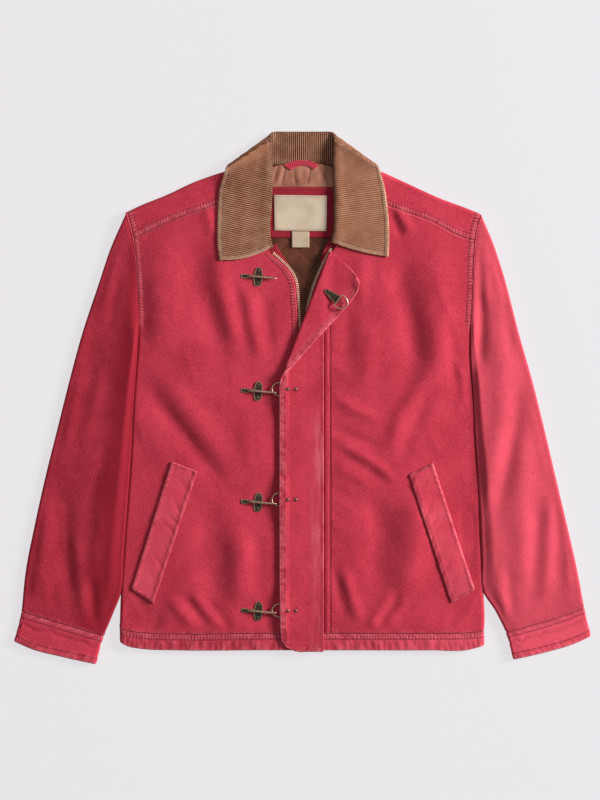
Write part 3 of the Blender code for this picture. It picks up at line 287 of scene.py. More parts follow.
def rough(x: np.ndarray, y: np.ndarray, size: float, seed: float = 0.0) -> np.ndarray:
    """Smooth unevenness between -1 and 1.

    Args:
        x: first coordinates, in metres.
        y: second coordinates, in metres.
        size: size of its patches, in metres.
        seed: number that gives another pattern.

    Returns:
        The unevenness at each point.
    """
    column, row = np.floor(x / size), np.floor(y / size)
    u, v = smoothstep(x / size - column), smoothstep(y / size - row)

    def corner(right: int, up: int) -> np.ndarray:
        """Unevenness at one corner of a point's patch."""
        value = np.sin((column + right) * 127.1 + (row + up) * 311.7 + seed * 74.7) * 43758.5453
        return 2.0 * (value - np.floor(value)) - 1.0

    low = corner(0, 0) * (1 - u) + corner(1, 0) * u
    high = corner(0, 1) * (1 - u) + corner(1, 1) * u
    return low * (1 - v) + high * v


def folded(x: np.ndarray, y: np.ndarray, table: Rows, taper: float = 0.3, spread: float = 1.0) -> np.ndarray:
    """Sum of the soft folds of a table at some points.

    Args:
        x: first coordinates, in metres.
        y: second coordinates.
        table: rows of half width, height and the x, y of a fold's points, in millimetres.
        taper: part of its length over which a fold fades out at each end.
        spread: how much broader the folds are than the table says.

    Returns:
        Heights in metres.
    """
    total = np.zeros(np.broadcast(x, y).shape)
    for half_width, height, *places in table:
        points = np.array(places).reshape(-1, 2) * MM
        lengths = np.linalg.norm(np.diff(points, axis=0), axis=1)
        away, share = np.full(total.shape, np.inf), np.zeros(total.shape)
        for start, step, length, before in zip(points, np.diff(points, axis=0), lengths,
                                               np.cumsum(lengths) - lengths):
            along = np.clip(((x - start[0]) * step[0] + (y - start[1]) * step[1]) / length ** 2, 0.0, 1.0)
            far = np.hypot(x - start[0] - along * step[0], y - start[1] - along * step[1])
            share = np.where(far < away, (before + along * length) / lengths.sum(), share)
            away = np.minimum(away, far)
        ends = smoothstep(share / taper) * smoothstep((1 - share) / taper) if taper else 1.0
        total = total + height * MM * bell(away, spread * half_width * MM) * ends
    return total


def xy(points: np.ndarray) -> tuple[np.ndarray, np.ndarray]:
    """First and second coordinates of points."""
    return points[..., 0], points[..., 1]


class Lay:
    """Heights of the layers as the jacket lies, the same as its solids have."""

    @staticmethod
    def lift(x: np.ndarray, y: np.ndarray) -> np.ndarray:
        """Height of the body's underside: zero, but raised over the collar's fall behind the neck."""
        free_edge = CUT.fall_under_y + CUT.fall_under_rise * (x / CUT.lift_half_width) ** 2
        into = smoothstep((y - free_edge + CUT.lift_fade + CUT.lift_ahead) / CUT.lift_fade)
        beside = smoothstep((CUT.lift_half_width + CUT.lift_fade - np.abs(x)) / CUT.lift_fade)
        return CUT.neck_lift * into * beside

    @staticmethod
    def held(x: np.ndarray, y: np.ndarray) -> np.ndarray:
        """One where metal holds the cloth as its solid lies, and zero away from it."""
        free = np.ones(np.broadcast(x, y).shape)
        for at_x, at_y in HELD:
            near = ((x / MM - at_x) / 36) ** 2 + ((y / MM - at_y) / 24) ** 2
            free = free * (1 - np.exp(-near ** 2))
        return 1 - free

    @classmethod
    def body_top(cls, x: np.ndarray, y: np.ndarray) -> np.ndarray:
        """Height of the fronts' upper side, with the layers below it, its loft and its folds."""
        hem = ease(y, -378, 45)
        shoulder = 1.0 - 0.45 * ease(y, 250, 60)
        stiff = 1.0 - 0.35 * ease(np.abs(x), 190, 70)
        sides = 1.0 - 0.8 * ease(np.abs(x), 150, 115)
        soft = ease(np.abs(x), 34, 14)
        neck_clear = 1.0 - ease(y, 200, 30) * (1.0 - ease(np.abs(x), 120, 24))
        uneven = 1.0 + 0.3 * rough(x, y, 34 * MM, 12)
        plump = 3.0 + 2.0 * ease(np.abs(x), 38, 60)
        folds = FOLD_GAIN * uneven * folded(x, y, FOLDS, spread=FOLD_SPREAD)
        own = plump * MM * hem * shoulder * sides + folds * soft * hem * neck_clear
        solid = 3.0 * MM * hem * shoulder * stiff + folded(x, y, SOLID_FOLDS, 0.0) * soft * hem * neck_clear
        held = cls.held(x, y)
        rise = 0.6 * MM + own * (1 - held) + solid * held
        return cls.lift(x, y) + CUT.body_base + np.maximum(rise, 0.35 * MM)

    @classmethod
    def front_top(cls, x: np.ndarray, y: np.ndarray) -> np.ndarray:
        """Height of the fronts' upper side with the finer creases of the cloth."""
        soft = ease(np.abs(x), 40, 8) * (1 - cls.held(x, y))
        under_collar = ease(y, CUT.collar_front_y, CUT.collar_front_fade) * (1 - ease(np.abs(x), 128, 14))
        uneven = 0.2 * MM * rough(x, y, 26 * MM, 3) + 0.12 * MM * rough(x, y, 10 * MM, 8)
        return cls.body_top(x, y) + (1.2 * folded(x, y, CREASES) + uneven) * soft * (1 - under_collar)


# ---------------------------------------------------------------- lines and grids

def hermite(points: np.ndarray, knots: np.ndarray, at: np.ndarray) -> np.ndarray:
    """Smooth curve through points.

    Args:
        points: the points, one for each knot, along the first axis.
        knots: rising numbers where the curve passes its points.
        at: numbers where the curve is read.

    Returns:
        The curve's points.
    """
    slope = np.gradient(points, knots, axis=0)
    i = np.clip(np.searchsorted(knots, at, side="right") - 1, 0, len(knots) - 2)
    shape = (-1,) + (1,) * (points.ndim - 1)
    h = (knots[i + 1] - knots[i]).reshape(shape)
    s = ((at - knots[i]) / (knots[i + 1] - knots[i])).reshape(shape)
    return ((2 * s ** 3 - 3 * s ** 2 + 1) * points[i] + (s ** 3 - 2 * s ** 2 + s) * h * slope[i]
            + (3 * s ** 2 - 2 * s ** 3) * points[i + 1] + (s ** 3 - s ** 2) * h * slope[i + 1])


def run_along(points: np.ndarray) -> np.ndarray:
    """Lengths along a line, from its first point to each of its points."""
    return np.concatenate(([0.0], np.cumsum(np.linalg.norm(np.diff(points, axis=0), axis=1))))


def read_along(values: np.ndarray, run: np.ndarray, at: np.ndarray) -> np.ndarray:
    """Values of a line's points, read at some lengths along it."""
    return np.stack([np.interp(at, run, column) for column in values.T], axis=1)


def smooth_line(rows: Rows, fractions: np.ndarray) -> np.ndarray:
    """Points at fractions of the length of a smooth line through rows in millimetres, in metres."""
    points = np.array(rows, dtype=float) * MM
    knots = run_along(points)
    return hermite(points, knots, np.asarray(fractions) * knots[-1])


def of_side(rows: Rows, side: Wearer) -> list[tuple[float, float]]:
    """The x, y rows of one side, from a table that gives both."""
    return [(row[0], row[1]) if side is Wearer.RIGHT else (row[2], row[3]) for row in rows]


def edge_rows(rows: Rows, side: Wearer) -> list[tuple[float, float]]:
    """The x, y rows of one side, from a table of y and the two x."""
    return [(row[1] if side is Wearer.RIGHT else row[2], row[0]) for row in rows]


def part_of(rows: Rows, first_y: float, last_y: float) -> list[tuple[float, float]]:
    """Rows of a line that runs up in y, cut at two heights."""
    xs, ys = zip(*rows)
    inside = [tuple(row) for row in rows if first_y < row[1] < last_y]
    return [(float(np.interp(first_y, ys, xs)), first_y), *inside, (float(np.interp(last_y, ys, xs)), last_y)]


def between(rows: Rows, first_x: float, last_x: float) -> list[tuple[float, float]]:
    """Rows of a line that runs along x, cut at two places."""
    xs, ys = zip(*rows)
    inside = [tuple(row) for row in rows if first_x < row[0] < last_x]
    return [(first_x, float(np.interp(first_x, xs, ys))), *inside, (last_x, float(np.interp(last_x, xs, ys)))]


def hem_rows(column: int) -> list[tuple[float, float]]:
    """x, y rows of the hem seam (column 1) or of the hem edge (column 2)."""
    return [(row[0], row[column]) for row in CUT.hem]


def patch(foot: Rows, head: Rows, first: Rows, last: Rows, u: np.ndarray, v: np.ndarray) -> np.ndarray:
    """Grid of plane points between four edges.

    Args:
        foot: edge along u where v is 0, in millimetres.
        head: edge along u where v is 1.
        first: edge along v where u is 0.
        last: edge along v where u is 1.
        u: fractions of the columns.
        v: fractions of the rows.

    Returns:
        The grid, by row and column, in metres.
    """
    foot_line, head_line = smooth_line(foot, u)[None], smooth_line(head, u)[None]
    first_line, last_line = smooth_line(first, v)[:, None], smooth_line(last, v)[:, None]
    u, v = np.asarray(u)[None, :, None], np.asarray(v)[:, None, None]
    corners = ((1 - v) * ((1 - u) * foot_line[:, :1] + u * foot_line[:, -1:])
               + v * ((1 - u) * head_line[:, :1] + u * head_line[:, -1:]))
    return (1 - v) * foot_line + v * head_line + (1 - u) * first_line + u * last_line - corners


def spaced(length: float, fine: float, coarse: float, margin: float) -> np.ndarray:
    """Fractions along a length in millimetres that lie closer together within a margin of its two ends."""
    ends = np.arange(0.0, margin, fine)
    middle = np.linspace(margin, length - margin, max(2, round((length - 2 * margin) / coarse) + 1))
    return np.concatenate((ends, middle, length - ends[::-1])) / length


def unit(vectors: np.ndarray) -> np.ndarray:
    """The vectors at length one."""
    return vectors / np.maximum(np.linalg.norm(vectors, axis=-1, keepdims=True), 1e-12)


def lay_on(plane: np.ndarray, height: np.ndarray | float) -> np.ndarray:
    """Points of space over plane points, at one height or at a height for each."""
    return np.concatenate((plane, np.broadcast_to(height, plane.shape[:-1])[..., None]), axis=-1)


@dataclass
class Surface:
    """The outer side of a piece of cloth, as a grid of points by row and column."""

    points: np.ndarray
    facing: Facing = Facing.UP
    probe: tuple[int, int] | None = None
    marks: dict[str, np.ndarray] = field(default_factory=dict)

    @property
    def x(self) -> np.ndarray:
        """First coordinates of the points."""
        return self.points[..., 0]

    @property
    def y(self) -> np.ndarray:
        """Second coordinates of the points."""
        return self.points[..., 1]

    def _grid_normals(self) -> np.ndarray:
        """Unit normals as the grid's own order gives them."""
        if self.facing is Facing.AROUND:
            ring = np.concatenate((self.points[:, -2:-1], self.points, self.points[:, 1:2]), axis=1)
            across = (ring[:, 2:] - ring[:, :-2]) / 2
        else:
            across = np.gradient(self.points, axis=1)
        return unit(np.cross(across, np.gradient(self.points, axis=0)))

    def flipped(self) -> bool:
        """Whether the grid's own normals look to the wrong side."""
        normals = self._grid_normals()
        if self.facing is Facing.AROUND:
            outward = self.points - self.points.mean(axis=1, keepdims=True)
            return float((normals * outward).sum()) < 0
        if self.probe is not None:
            return float(normals[self.probe][2]) * self.facing.value < 0
        return float(normals[..., 2].sum()) * self.facing.value < 0

    def normals(self) -> np.ndarray:
        """Unit normals of the points, turned to the side that the cloth faces."""
        return -self._grid_normals() if self.flipped() else self._grid_normals()

    def away(self, side: Side) -> np.ndarray:
        """Distance of each point from a side, along the cloth."""
        axis = 1 if side in (Side.FIRST, Side.LAST) else 0
        steps = np.linalg.norm(np.diff(self.points, axis=axis), axis=-1)
        run = np.concatenate((np.zeros_like(np.take(steps, [0], axis=axis)), np.cumsum(steps, axis=axis)),
                             axis=axis)
        if side in (Side.LAST, Side.HEAD):
            run = np.take(run, [-1], axis=axis) - run
        return run

    def inset(self, side: Side, distance: float) -> tuple[np.ndarray, np.ndarray]:
        """A line on the cloth beside one of its sides.

        Args:
            side: the side.
            distance: how far inside it, in metres.

        Returns:
            The line's points and the cloth's normals there.
        """
        away = self.away(side)
        normals = self.normals()
        if side in (Side.FOOT, Side.HEAD):
            away, points, normals = away.T, self.points.swapaxes(0, 1), normals.swapaxes(0, 1)
        else:
            points = self.points
        line, ups = [], []
        for distances, row, normal in zip(away, points, normals):
            order = np.argsort(distances)
            line.append([np.interp(distance, distances[order], row[order, axis]) for axis in range(3)])
            ups.append([np.interp(distance, distances[order], normal[order, axis]) for axis in range(3)])
        return np.array(line), unit(np.array(ups))

    def raise_by(self, height: np.ndarray) -> None:
        """Move the points along their normals by heights in metres."""
        self.points = self.points + self.normals() * height[..., None]

    def keep_above(self, height: float = 0.0) -> None:
        """Raise the points that lie below a height."""
        self.points[..., 2] = np.maximum(self.points[..., 2], height)

    def mark(self, name: str, value: np.ndarray | float) -> None:
        """Keep the largest value of a mark at each point."""
        value = np.broadcast_to(value, self.x.shape)
        self.marks[name] = np.maximum(self.marks[name], value) if name in self.marks else value


@dataclass(frozen=True)
class Sewn:
    """How the cloth is worked along a side: its stitch rows, its rolled rim and its puckers, in metres."""

    rows: tuple[float, ...] = ()
    width: float = 8 * MM
    drop: float = 0.7 * MM
    swell: float = 0.35 * MM
    pucker: float = 0.3 * MM
    pitch: float = 7 * MM
    worn: float = 1.0
    slant: float = 0.5
    seed: float = 0.0
    rungs: float = 1.0

    def work(self, surface: Surface, side: Side, share: np.ndarray | float = 1.0) -> None:
        """Work the cloth along a side and mark where it is worn and where its grooves are darker, partly dye
        that stays there and partly painted shade.

        Args:
            surface: the piece.
            side: its side.
            share: how much of the work shows at each point, from 0 to 1.
        """
        away = surface.away(side)
        run = surface.away(Side.FOOT if side in (Side.FIRST, Side.LAST) else Side.FIRST)
        stray = rough(run, 0.4 * away, 2.6 * self.pitch, self.seed)
        phase = run / self.pitch + self.slant * away / self.pitch + 1.3 * stray
        chance = rough(run + self.slant * away, 0.4 * away, 0.7 * self.pitch, self.seed + 5)
        ripple = 0.32 * np.sin(2 * math.pi * phase) + chance
        band = smoothstep(away / (1.5 * MM)) * smoothstep((self.width * 1.25 - away) / (self.width * 0.5))
        grooves = sum((bell(away - row, 0.9 * MM) for row in self.rows), np.zeros_like(away))
        height = (self.swell * smoothstep((self.width * 1.1 - away) / (2.5 * MM))
                  - self.drop * np.exp(-away / (0.9 * MM))
                  - 0.22 * MM * grooves + self.pucker * band * ripple * (1 - 0.5 * np.clip(grooves, 0, 1)))
        if len(self.rows) > 1:
            near = smoothstep((away - min(self.rows) + 1 * MM) / MM)
            far = smoothstep((max(self.rows) + 1 * MM - away) / MM)
            patchy = 0.45 + 0.55 * smoothstep(0.5 + 0.7 * rough(run, 0 * run, 16 * MM, self.seed + 9))
            surface.mark("ladder", self.rungs * share * near * far * patchy)
            wobble = 1.2 * MM * rough(run, 0 * run, 9 * MM, self.seed + 7)
            surface.marks["run"] = np.where(away < self.width * 1.3, run + wobble,
                                            surface.marks.get("run", run))
        surface.raise_by(height * share)
        ridges = sum((bell(away - row - 1.7 * MM, 0.9 * MM) + bell(away - row + 1.7 * MM, 0.9 * MM)
                      for row in self.rows), np.zeros_like(away))
        rim = bell(away - 1.0 * MM, 1.2 * MM)
        peaks = smoothstep(0.5 + 0.5 * ripple)
        surface.mark("worn", self.worn * share * np.clip((0.62 * rim + 0.12 * ridges) * (0.35 + 0.85 * peaks)
                                                         + 0.2 * band * peaks, 0, 1))
        # Darker in the stitch grooves and pucker troughs: partly dye that stays there, partly painted shade.
        surface.mark("dye_and_shade", share * np.clip(0.95 * grooves + 0.4 * band * (1 - peaks) * (1 - rim), 0, 1))


# ---------------------------------------------------------------- materials

class Socket:
    """A socket of a material with the arithmetic of shader maths."""

    def __init__(self, shop: "Shop", out: bpy.types.NodeSocket) -> None:
        """Wrap a socket of a shop's nodes."""
        self.shop = shop
        self.out = out

    def _math(self, operation: str, *values: "Socket | float", clamp: bool = False) -> "Socket":
        """One Math node on values."""
        return self.shop.node("ShaderNodeMath", {"operation": operation, "use_clamp": clamp},
                              dict(enumerate(values)))

    def __add__(self, other: "Socket | float") -> "Socket":
        """Sum."""
        return self._math("ADD", self, other)

    __radd__ = __add__

    def __sub__(self, other: "Socket | float") -> "Socket":
        """Difference."""
        return self._math("SUBTRACT", self, other)

    def __rsub__(self, other: "Socket | float") -> "Socket":
        """Difference from a value."""
        return self._math("SUBTRACT", other, self)

    def __mul__(self, other: "Socket | float") -> "Socket":
        """Product."""
        return self._math("MULTIPLY", self, other)

    __rmul__ = __mul__

    def sine(self) -> "Socket":
        """Sine of the value."""
        return self._math("SINE", self)

    def clamp(self) -> "Socket":
        """The value kept between 0 and 1."""
        return self._math("ADD", self, 0.0, clamp=True)

    def ramp(self, low: float, high: float) -> "Socket":
        """Ease from 0 to 1 as the value goes from low to high."""
        return self.shop.node("ShaderNodeMapRange", {"interpolation_type": "SMOOTHSTEP"},
                              {"Value": self, "From Min": low, "From Max": high})


class Shop:
    """The nodes of one material."""

    def __init__(self, name: str) -> None:
        """Start a material with its own Principled shader."""
        self.material = bpy.data.materials.new(name)
        self.material.use_nodes = True
        self.tree = self.material.node_tree
        self.shader = self.tree.nodes["Principled BSDF"]

    def node(self, kind: str, settings: dict[str, object] | None = None,
             values: "dict[str | int, Socket | float | Sequence[float]] | None" = None,
             out: str | int = 0) -> Socket:
        """Add a node.

        Args:
            kind: the node's type.
            settings: its own settings, set first.
            values: the values or links of its inputs.
            out: the output that is returned.

        Returns:
            The output, wrapped.
        """
        made = self.tree.nodes.new(kind)
        for key, value in (settings or {}).items():
            setattr(made, key, value)
        for key, value in (values or {}).items():
            self.feed(made.inputs[key], value)
        return Socket(self, made.outputs[out])

    def feed(self, target: bpy.types.NodeSocket, value: "Socket | float | Sequence[float]") -> None:
        """Link or set an input."""
        if isinstance(value, Socket):
            self.tree.links.new(value.out, target)
        else:
            target.default_value = value

    def place(self) -> Socket:
        """The point's place on the object, in metres."""
        return self.node("ShaderNodeTexCoord", out="Object")

    def cloth(self) -> Socket:
        """The point's place along and across the cloth, in metres."""
        return self.node("ShaderNodeUVMap", {"uv_map": "cloth"})

    def attribute(self, name: str) -> Socket:
        """A mark that the piece carries at its points."""
        return self.node("ShaderNodeAttribute", {"attribute_name": name}, out="Fac")

    def noise(self, place: Socket, scale: float, detail: float = 2.0,
              stretch: Sequence[float] = (1, 1, 1)) -> Socket:
        """Noise over a place.

        Args:
            place: the coordinates.
            scale: patches in a metre.
            detail: how many finer layers it has.
            stretch: how much finer it is along each axis.

        Returns:
            Values around 0.5.
        """
        turned = self.node("ShaderNodeMapping", {}, {"Vector": place, "Scale": tuple(stretch)})
        return self.node("ShaderNodeTexNoise", {}, {"Vector": turned, "Scale": scale, "Detail": detail})

    def mix(self, share: "Socket | float", first: "Socket | Colour", second: "Socket | Colour") -> Socket:
        """A colour between two colours."""
        made = self.tree.nodes.new("ShaderNodeMix")
        made.data_type = "RGBA"
        self.feed(made.inputs[0], share)
        for index, value in ((6, first), (7, second)):
            self.feed(made.inputs[index], value if isinstance(value, Socket) else (*value, 1.0))
        return Socket(self, made.outputs[2])

    def parts(self, vector: Socket) -> tuple[Socket, Socket, Socket]:
        """The three numbers of a vector."""
        split = self.tree.nodes.new("ShaderNodeSeparateXYZ")
        self.feed(split.inputs[0], vector)
        return tuple(Socket(self, out) for out in split.outputs)

    def bump(self, height: Socket, distance: float, strength: float = 1.0) -> Socket:
        """A normal from a height of 0 to 1 that stands for a distance in metres."""
        return self.node("ShaderNodeBump", {}, {"Strength": strength, "Distance": distance, "Height": height})

    def dress(self, **inputs: "Socket | float | Sequence[float]") -> bpy.types.Material:
        """Set the shader's inputs, named with underscores, and give the material."""
        for name, value in inputs.items():
            self.feed(self.shader.inputs[name.replace("_", " ")], value)
        return self.material


@dataclass(frozen=True)
class Canvas:
    """Washed cotton canvas: a plain weave, faded unevenly, paler where it rubs, darker in its grooves (partly
    dye left there, partly painted shade), and lighter or darker by its tone mark (fade with painted light and
    shade).
    """

    name: str = "red_canvas"
    dye: Colour = (0.28, 0.007, 0.020)
    faded: Colour = (0.67, 0.052, 0.093)
    worn: Colour = (0.76, 0.19, 0.23)
    groove: Colour = (0.22, 0.004, 0.014)
    yarn: float = 0.95 * MM
    rung: float = 4.6 * MM
    roughness: float = 0.88
    streak: float = 0.5
    wear: float = 0.5

    def make(self) -> bpy.types.Material:
        """Build the material."""
        shop = Shop(self.name)
        cloth = shop.cloth()
        place = shop.place()
        across, along, _ = shop.parts(cloth)
        turn = 2 * math.pi / self.yarn
        weave = (across * turn).sine() * (along * turn).sine() * 0.5 + 0.5
        slubs = shop.noise(cloth, 900, 2, (1, 0.16, 1)) + shop.noise(cloth, 900, 2, (0.16, 1, 1)) - 1.0
        fleck = shop.noise(place, 520, 3)
        blotch = shop.noise(place, 16, 4)
        cloud = shop.noise(place, 60, 3)
        # The tone mark adds fade and painted light and shade: sleeves, cuffs and hem are painted lighter on
        # the side of the key light and darker on the other side and beside the body.
        fade = (0.22 + blotch.ramp(0.3, 0.72) * 0.2 + cloud.ramp(0.3, 0.7) * 0.07
                + fleck.ramp(0.36, 0.64) * 0.24
                + slubs * self.streak + shop.attribute("tone"))
        body = shop.mix(fade.clamp(), self.dye, self.faded)
        ladder = shop.attribute("ladder")
        wave = (shop.attribute("run") * (2 * math.pi / self.rung) + cloud * 3).sine() * 0.5 + 0.5
        rungs = ladder * wave.ramp(0.35, 0.8)
        # Grooves are darkened towards the groove colour: partly dye left in them, partly painted shade.
        dye_and_shade = shop.attribute("dye_and_shade") + rungs * 0.5
        deep = shop.mix((dye_and_shade * 0.85).clamp(), body, self.groove)
        patchy = shop.noise(place, 420, 3).ramp(0.25, 0.6)
        share = (shop.attribute("worn") * (0.45 + 0.75 * patchy) * self.wear
                 + (ladder - rungs) * 0.26).clamp()
        colour = shop.mix(share, deep, self.worn)
        height = weave * 0.5 + fleck * 0.35 + slubs * 0.3 - rungs * 0.9
        return shop.dress(Base_Color=colour, Roughness=self.roughness + 0.08 * (fleck - 0.5),
                          Normal=shop.bump(height, 0.28 * MM, 0.55), Sheen_Weight=0.06, Sheen_Roughness=0.5,
                          Sheen_Tint=(0.95, 0.6, 0.6, 1.0), Specular_IOR_Level=0.25)


@dataclass(frozen=True)
class Corduroy:
    """Worn cotton corduroy: pile on raised wales, darker between them (the bare ground with painted shade)
    and paler where it rubs, with painted light and shade from its tone mark.
    """

    name: str = "tan_corduroy"
    pile: Colour = (0.53, 0.215, 0.114)
    valley_and_shade: Colour = (0.045, 0.014, 0.008)
    rubbed: Colour = (0.64, 0.40, 0.27)

    def make(self) -> bpy.types.Material:
        """Build the material."""
        shop = Shop(self.name)
        place = shop.place()
        wale = shop.attribute("wale")
        fuzz = shop.noise(place, 1700, 3)
        cloud = shop.noise(place, 70, 3)
        worn = (shop.attribute("worn") * (0.5 + 0.8 * fuzz)).clamp()
        # Stitch grooves painted darker, partly dye and partly painted shade; the tone mark adds painted light
        # and shade.
        groove = (shop.attribute("dye_and_shade") * 0.8).clamp()
        pile = (wale * (0.72 + 0.5 * fuzz) + shop.attribute("tone")) * (1 - groove)
        body = shop.mix(pile.clamp(), self.valley_and_shade, self.pile)
        tone = shop.mix((cloud.ramp(0.3, 0.75) * 0.3 * wale).clamp(), body, self.rubbed)
        colour = shop.mix((worn * 0.9).clamp(), tone, self.rubbed)
        return shop.dress(Base_Color=colour, Roughness=0.92, Normal=shop.bump(fuzz, 0.2 * MM, 0.5),
                          Sheen_Weight=0.08,
                          Sheen_Roughness=0.4, Sheen_Tint=(1.0, 0.8, 0.62, 1.0), Specular_IOR_Level=0.2)


@dataclass(frozen=True)
class Lining:
    """Smooth lining cloth with a faint rib and a soft sheen."""

    name: str
    tone: Colour
    shade: Colour
    roughness: float = 0.5

    def make(self) -> bpy.types.Material:
        """Build the material."""
        shop = Shop(self.name)
        cloth = shop.cloth()
        across, along, _ = shop.parts(cloth)
        rib = ((across + along) * (2 * math.pi / (0.8 * MM))).sine() * 0.5 + 0.5
        cloud = shop.noise(shop.place(), 45, 3)
        colour = shop.mix((cloud.ramp(0.25, 0.75) * 0.8 + 0.2 * rib).clamp(), self.shade, self.tone)
        # Painted shade: the pleats' troughs and the quilting lines are painted with the darker colour.
        groove = (shop.attribute("dye_and_shade") * 0.6).clamp()
        return shop.dress(Base_Color=shop.mix(groove, colour, self.shade),
                          Roughness=self.roughness + 0.1 * (cloud - 0.5),
                          Normal=shop.bump(rib, 0.08 * MM, 0.4), Sheen_Weight=0.03, Specular_IOR_Level=0.25)


@dataclass(frozen=True)
class LabelWeave:
    """Cream woven label cloth: fine ribs, a little uneven, with nothing on it."""

    name: str = "cream_label"
    tone: Colour = (0.60, 0.49, 0.365)
    shade: Colour = (0.42, 0.30, 0.20)

    def make(self) -> bpy.types.Material:
        """Build the material."""
        shop = Shop(self.name)
        across, along, _ = shop.parts(shop.cloth())
        rib = (along * (2 * math.pi / (0.9 * MM))).sine() * 0.5 + 0.5
        grain = (across * (2 * math.pi / (0.7 * MM))).sine() * 0.5 + 0.5
        cloud = shop.noise(shop.place(), 60, 3)
        # The dark mark paints the stitched border's groove darker, as painted shade, and the size tag darker
        # all over.
        share = (cloud.ramp(0.3, 0.8) * 0.5 + rib * 0.12 + grain * 0.08
                 + shop.attribute("dye_and_shade") * 0.6).clamp()
        return shop.dress(Base_Color=shop.mix(share, self.tone, self.shade), Roughness=0.72,
                          Normal=shop.bump(rib * 0.6 + grain * 0.4, 0.1 * MM, 0.5), Sheen_Weight=0.1)


@dataclass(frozen=True)
class Thread:
    """Twisted sewing thread."""

    name: str
    tone: Colour
    shade: Colour

    def make(self) -> bpy.types.Material:
        """Build the material."""
        shop = Shop(self.name)
        place = shop.place()
        twist = shop.noise(place, 1500, 2)
        tired = shop.noise(place, 90, 2).ramp(0.3, 0.7)
        return shop.dress(Base_Color=shop.mix((0.6 * twist + 0.4 * tired).clamp(), self.shade, self.tone),
                          Roughness=0.75,
                          Normal=shop.bump(twist, 0.1 * MM, 0.5), Specular_IOR_Level=0.15)


@dataclass(frozen=True)
class AgedMetal:
    """Old brass: a dark brown patina, rubbed bright where hands and rings touch it."""

    name: str
    bright: Colour
    patina: Colour
    bare: float = 0.5
    metallic: float = 0.75
    grain: float = 900.0

    def make(self) -> bpy.types.Material:
        """Build the material."""
        shop = Shop(self.name)
        place = shop.place()
        spots = shop.noise(place, 260, 4)
        grit = shop.noise(place, self.grain, 3)
        rub = (shop.attribute("worn") * 1.1 + (spots - 0.5) * 1.6 + (self.bare - 0.35)).clamp()
        return shop.dress(Base_Color=shop.mix(rub, self.patina, self.bright),
                          Roughness=0.55 - 0.25 * rub + 0.12 * (grit - 0.5),
                          Metallic=self.metallic + (1 - self.metallic) * 0.6 * rub,
                          Normal=shop.bump(grit, 0.06 * MM, 0.6))


@dataclass(frozen=True)
class Finishes:
    """Every finish of the jacket."""

    canvas: Canvas = Canvas()
    inside_canvas: Canvas = Canvas(name="facing_canvas", dye=(0.20, 0.005, 0.014), faded=(0.36, 0.016, 0.036),
                                   worn=(0.45, 0.06, 0.09), wear=0.25)
    corduroy: Corduroy = Corduroy()
    # Painted shade: the quilted lining is painted far darker than the tan lining, for the shade deep inside
    # the neck.
    quilted: Lining = Lining("brown_lining", (0.135, 0.034, 0.012), (0.050, 0.010, 0.0035), 0.6)
    plain: Lining = Lining("tan_lining", (0.46, 0.195, 0.125), (0.24, 0.080, 0.048), 0.6)
    label: LabelWeave = LabelWeave()
    red_thread: Thread = Thread("red_thread", (0.44, 0.014, 0.034), (0.27, 0.008, 0.020))
    tan_thread: Thread = Thread("tan_thread", (0.40, 0.20, 0.11), (0.20, 0.08, 0.04))
    cream_thread: Thread = Thread("cream_thread", (0.72, 0.62, 0.47), (0.45, 0.33, 0.22))
    old_brass: AgedMetal = AgedMetal("old_brass", (0.34, 0.225, 0.15), (0.050, 0.032, 0.023), 0.2)
    rubbed_brass: AgedMetal = AgedMetal("rubbed_brass", (0.62, 0.43, 0.30), (0.14, 0.085, 0.055), 0.45)
    copper: AgedMetal = AgedMetal("copper", (0.33, 0.15, 0.10), (0.11, 0.05, 0.036), 0.35)
    # Painted light: the zip's teeth are a pale, hardly metallic brass, so they look brightly lit though the
    # flap's shadow falls on them.
    zip_brass: AgedMetal = AgedMetal("zip_brass", (1.0, 0.84, 0.60), (0.80, 0.56, 0.36), 0.9, 0.1)

    def make(self) -> dict[str, bpy.types.Material]:
        """Build every material, by its field's name."""
        return {name: getattr(self, name).make() for name in self.__dataclass_fields__}


# ---------------------------------------------------------------- making objects

@dataclass(frozen=True)
class Flat:
    """The flat cut of a sheet: width, length and area in metres, how it is held, and what it lies on."""

    width: float
    length: float
    area: float
    held: str
    rests_on: tuple[str, ...]


